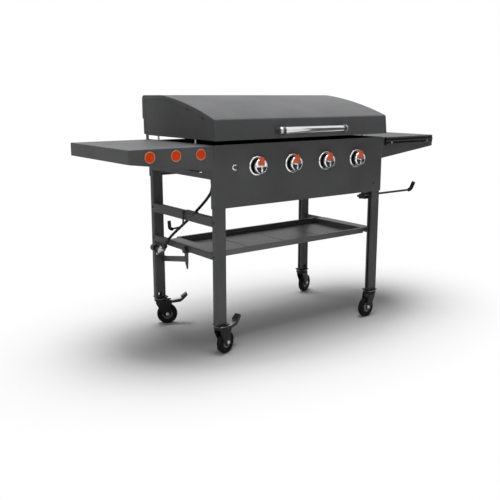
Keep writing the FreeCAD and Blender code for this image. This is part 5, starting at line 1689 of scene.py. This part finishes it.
@dataclass
class Studio:
    """Pale floor, soft lamps and the camera at the photograph's viewing angle. Lengths are metres."""

    camera_place: Triple = (-1.9523, -2.4658, 1.0549)
    yaw: float = 37.07
    pitch: float = 11.70
    focal_px: float = 682.43
    frame_px: float = 500.0
    centre_px: Pair = (253.24, 237.14)
    sensor_mm: float = 36.0
    floor_half: float = 9.0
    floor_pool: Pair = (1.9, 1.2)
    floor_fade: Pair = (0.38, 0.78)
    card: tuple[float, float, float, float, float] = (1.2, 4.0, -0.5, -1.9, 2.4)
    card_wall: float = 0.02
    card_grey: float = 0.16
    ambient: float = 0.14
    horizon: float = 0.3
    horizon_band: Pair = (-0.1, 0.3)
    lamps: tuple[tuple[str, Triple, Triple, float, float], ...] = (
        ("top_lamp", (-0.3, 0.3, 6.0), (0.0, 0.0, 0.5), 3.8, 350.0),
        ("front_lamp", (-2.6, -3.4, 2.2), (0.0, 0.0, 0.7), 2.4, 14.0))

    def build(self) -> None:
        """Set up camera, lamps, world and floor."""
        self.place_camera()
        self.light_world()
        self.hang_lamps()
        self.stand_card()
        self.lay_floor()
        bpy.context.scene.view_settings.view_transform = "Standard"

    def place_camera(self) -> None:
        """Camera solved from the photograph's straight edges."""
        data = bpy.data.cameras.new("photo_camera")
        data.sensor_width = self.sensor_mm
        data.lens = self.focal_px / self.frame_px * data.sensor_width
        data.shift_x = -(self.centre_px[0] - self.frame_px / 2) / self.frame_px
        data.shift_y = (self.centre_px[1] - self.frame_px / 2) / self.frame_px
        data.clip_end = 60.0
        camera = bpy.data.objects.new("photo_camera", data)
        camera.location = self.camera_place
        camera.rotation_euler = (math.radians(90 - self.pitch), 0, -math.radians(self.yaw))
        bpy.context.scene.collection.objects.link(camera)
        bpy.context.scene.camera = camera

    def light_world(self) -> None:
        """White surroundings for camera and reflections, a softer level for light."""
        world = bpy.data.worlds.new("studio_world")
        bpy.context.scene.world = world
        world.use_nodes = True
        tree = Tree(world.node_tree)
        out = tree.add("ShaderNodeOutputWorld")
        back = tree.add("ShaderNodeBackground", {"Color": (1, 1, 1, 1)})
        rays = tree.add("ShaderNodeLightPath").outputs
        seen = tree.reckon("MAXIMUM", rays["Is Camera Ray"], rays["Is Transmission Ray"])
        split = tree.add("ShaderNodeSeparateXYZ")
        tree.link(tree.add("ShaderNodeTexCoord").outputs["Generated"], split.inputs[0])
        rise = tree.spread(split.outputs["Z"], self.horizon, 1.0, *self.horizon_band)
        level = tree.blend(seen, tree.blend(rays["Is Glossy Ray"], self.ambient, rise), 1.0)
        tree.link(level, back.inputs["Strength"])
        tree.link(back.outputs[0], out.inputs[0])

    def hang_lamps(self) -> None:
        """One broad soft lamp over the station and a weak one from the front left."""
        for name, place, target, size, power in self.lamps:
            data = bpy.data.lights.new(name, "AREA")
            data.size = size
            data.energy = power
            lamp = bpy.data.objects.new(name, data)
            lamp.location = place
            lamp.rotation_euler = (Vector(target) - Vector(place)).to_track_quat("-Z", "Y").to_euler()
            bpy.context.scene.collection.objects.link(lamp)

    def stand_card(self) -> None:
        """Dark card at the front right that only shows in the bright metal."""
        left, right, near, far, top = self.card
        wall, lift = self.card_wall, self.card_wall / 2
        upright = Bench.slab("studio_card", [Vector((x, far, z)) for x, z in (
            (left, lift), (right, lift), (right, top), (left, top))], Vector((0, -wall, 0)))
        start = left + (far - near) * 0.9
        flat = Bench.slab("studio_card_foot", [Vector((x, y, lift)) for x, y in (
            (start, near), (left, far), (right, far), (right, near))], Vector((0, 0, wall)))
        card = Bench.join("studio_card", [upright, flat])
        n = Nodes("studio_card_grey")
        n.fix("Base Color", (self.card_grey, self.card_grey, self.card_grey, 1))
        n.fix("Roughness", 0.9)
        card.data.materials.append(n.material)
        for ray in ("camera", "diffuse", "shadow", "transmission", "volume_scatter"):
            setattr(card, f"visible_{ray}", False)

    def lay_floor(self) -> None:
        """Pale floor that keeps the shadow near the station and fades to white far off."""
        Bench.clear()
        bpy.ops.mesh.primitive_plane_add(size=2 * self.floor_half, location=(0, 0, 0))
        floor = bpy.context.object
        floor.name = "studio_floor"
        bpy.ops.object.mode_set(mode="EDIT")
        bpy.ops.mesh.subdivide(number_cuts=3)
        bpy.ops.object.mode_set(mode="OBJECT")
        n = Nodes("studio_floor_white")
        n.fix("Base Color", (0.9, 0.9, 0.9, 1))
        n.fix("Roughness", 0.9)
        n.fix("Specular IOR Level", 0.1)
        glow = n.add("ShaderNodeEmission", {"Strength": 1.0})
        far = n.add("ShaderNodeVectorMath")
        far.operation = "LENGTH"
        width, depth = self.floor_pool
        n.link(n.stretched((1 / width, 1 / depth, 1.0)), far.inputs[0])
        fade = n.spread(far.outputs["Value"], 0.0, 1.0, *self.floor_fade)
        path = n.add("ShaderNodeLightPath").outputs
        rays = path["Is Camera Ray"]
        for kind in ("Is Glossy Ray", "Is Transmission Ray"):
            rays = n.reckon("MAXIMUM", rays, path[kind])
        mix = n.add("ShaderNodeMixShader")
        n.link(n.reckon("MULTIPLY", rays, fade), mix.inputs[0])
        n.link(n.shader.outputs[0], mix.inputs[1])
        n.link(glow.outputs[0], mix.inputs[2])
        n.link(mix.outputs[0], n.out.inputs[0])
        floor.data.materials.append(n.material)


def main() -> None:
    """Build the station's looks in order."""
    logging.basicConfig(level=logging.INFO, format="%(message)s")
    palette = Palette()
    palette.dress_frame(frame["nodes"])
    Studio().build()
    for kind in (GasLine, Hood, Controls, ShelfFittings, Hangers, Casters):
        kind(palette).build()
        LOG.info("built %s", kind.__name__)


if __name__ == "__main__":
    main()
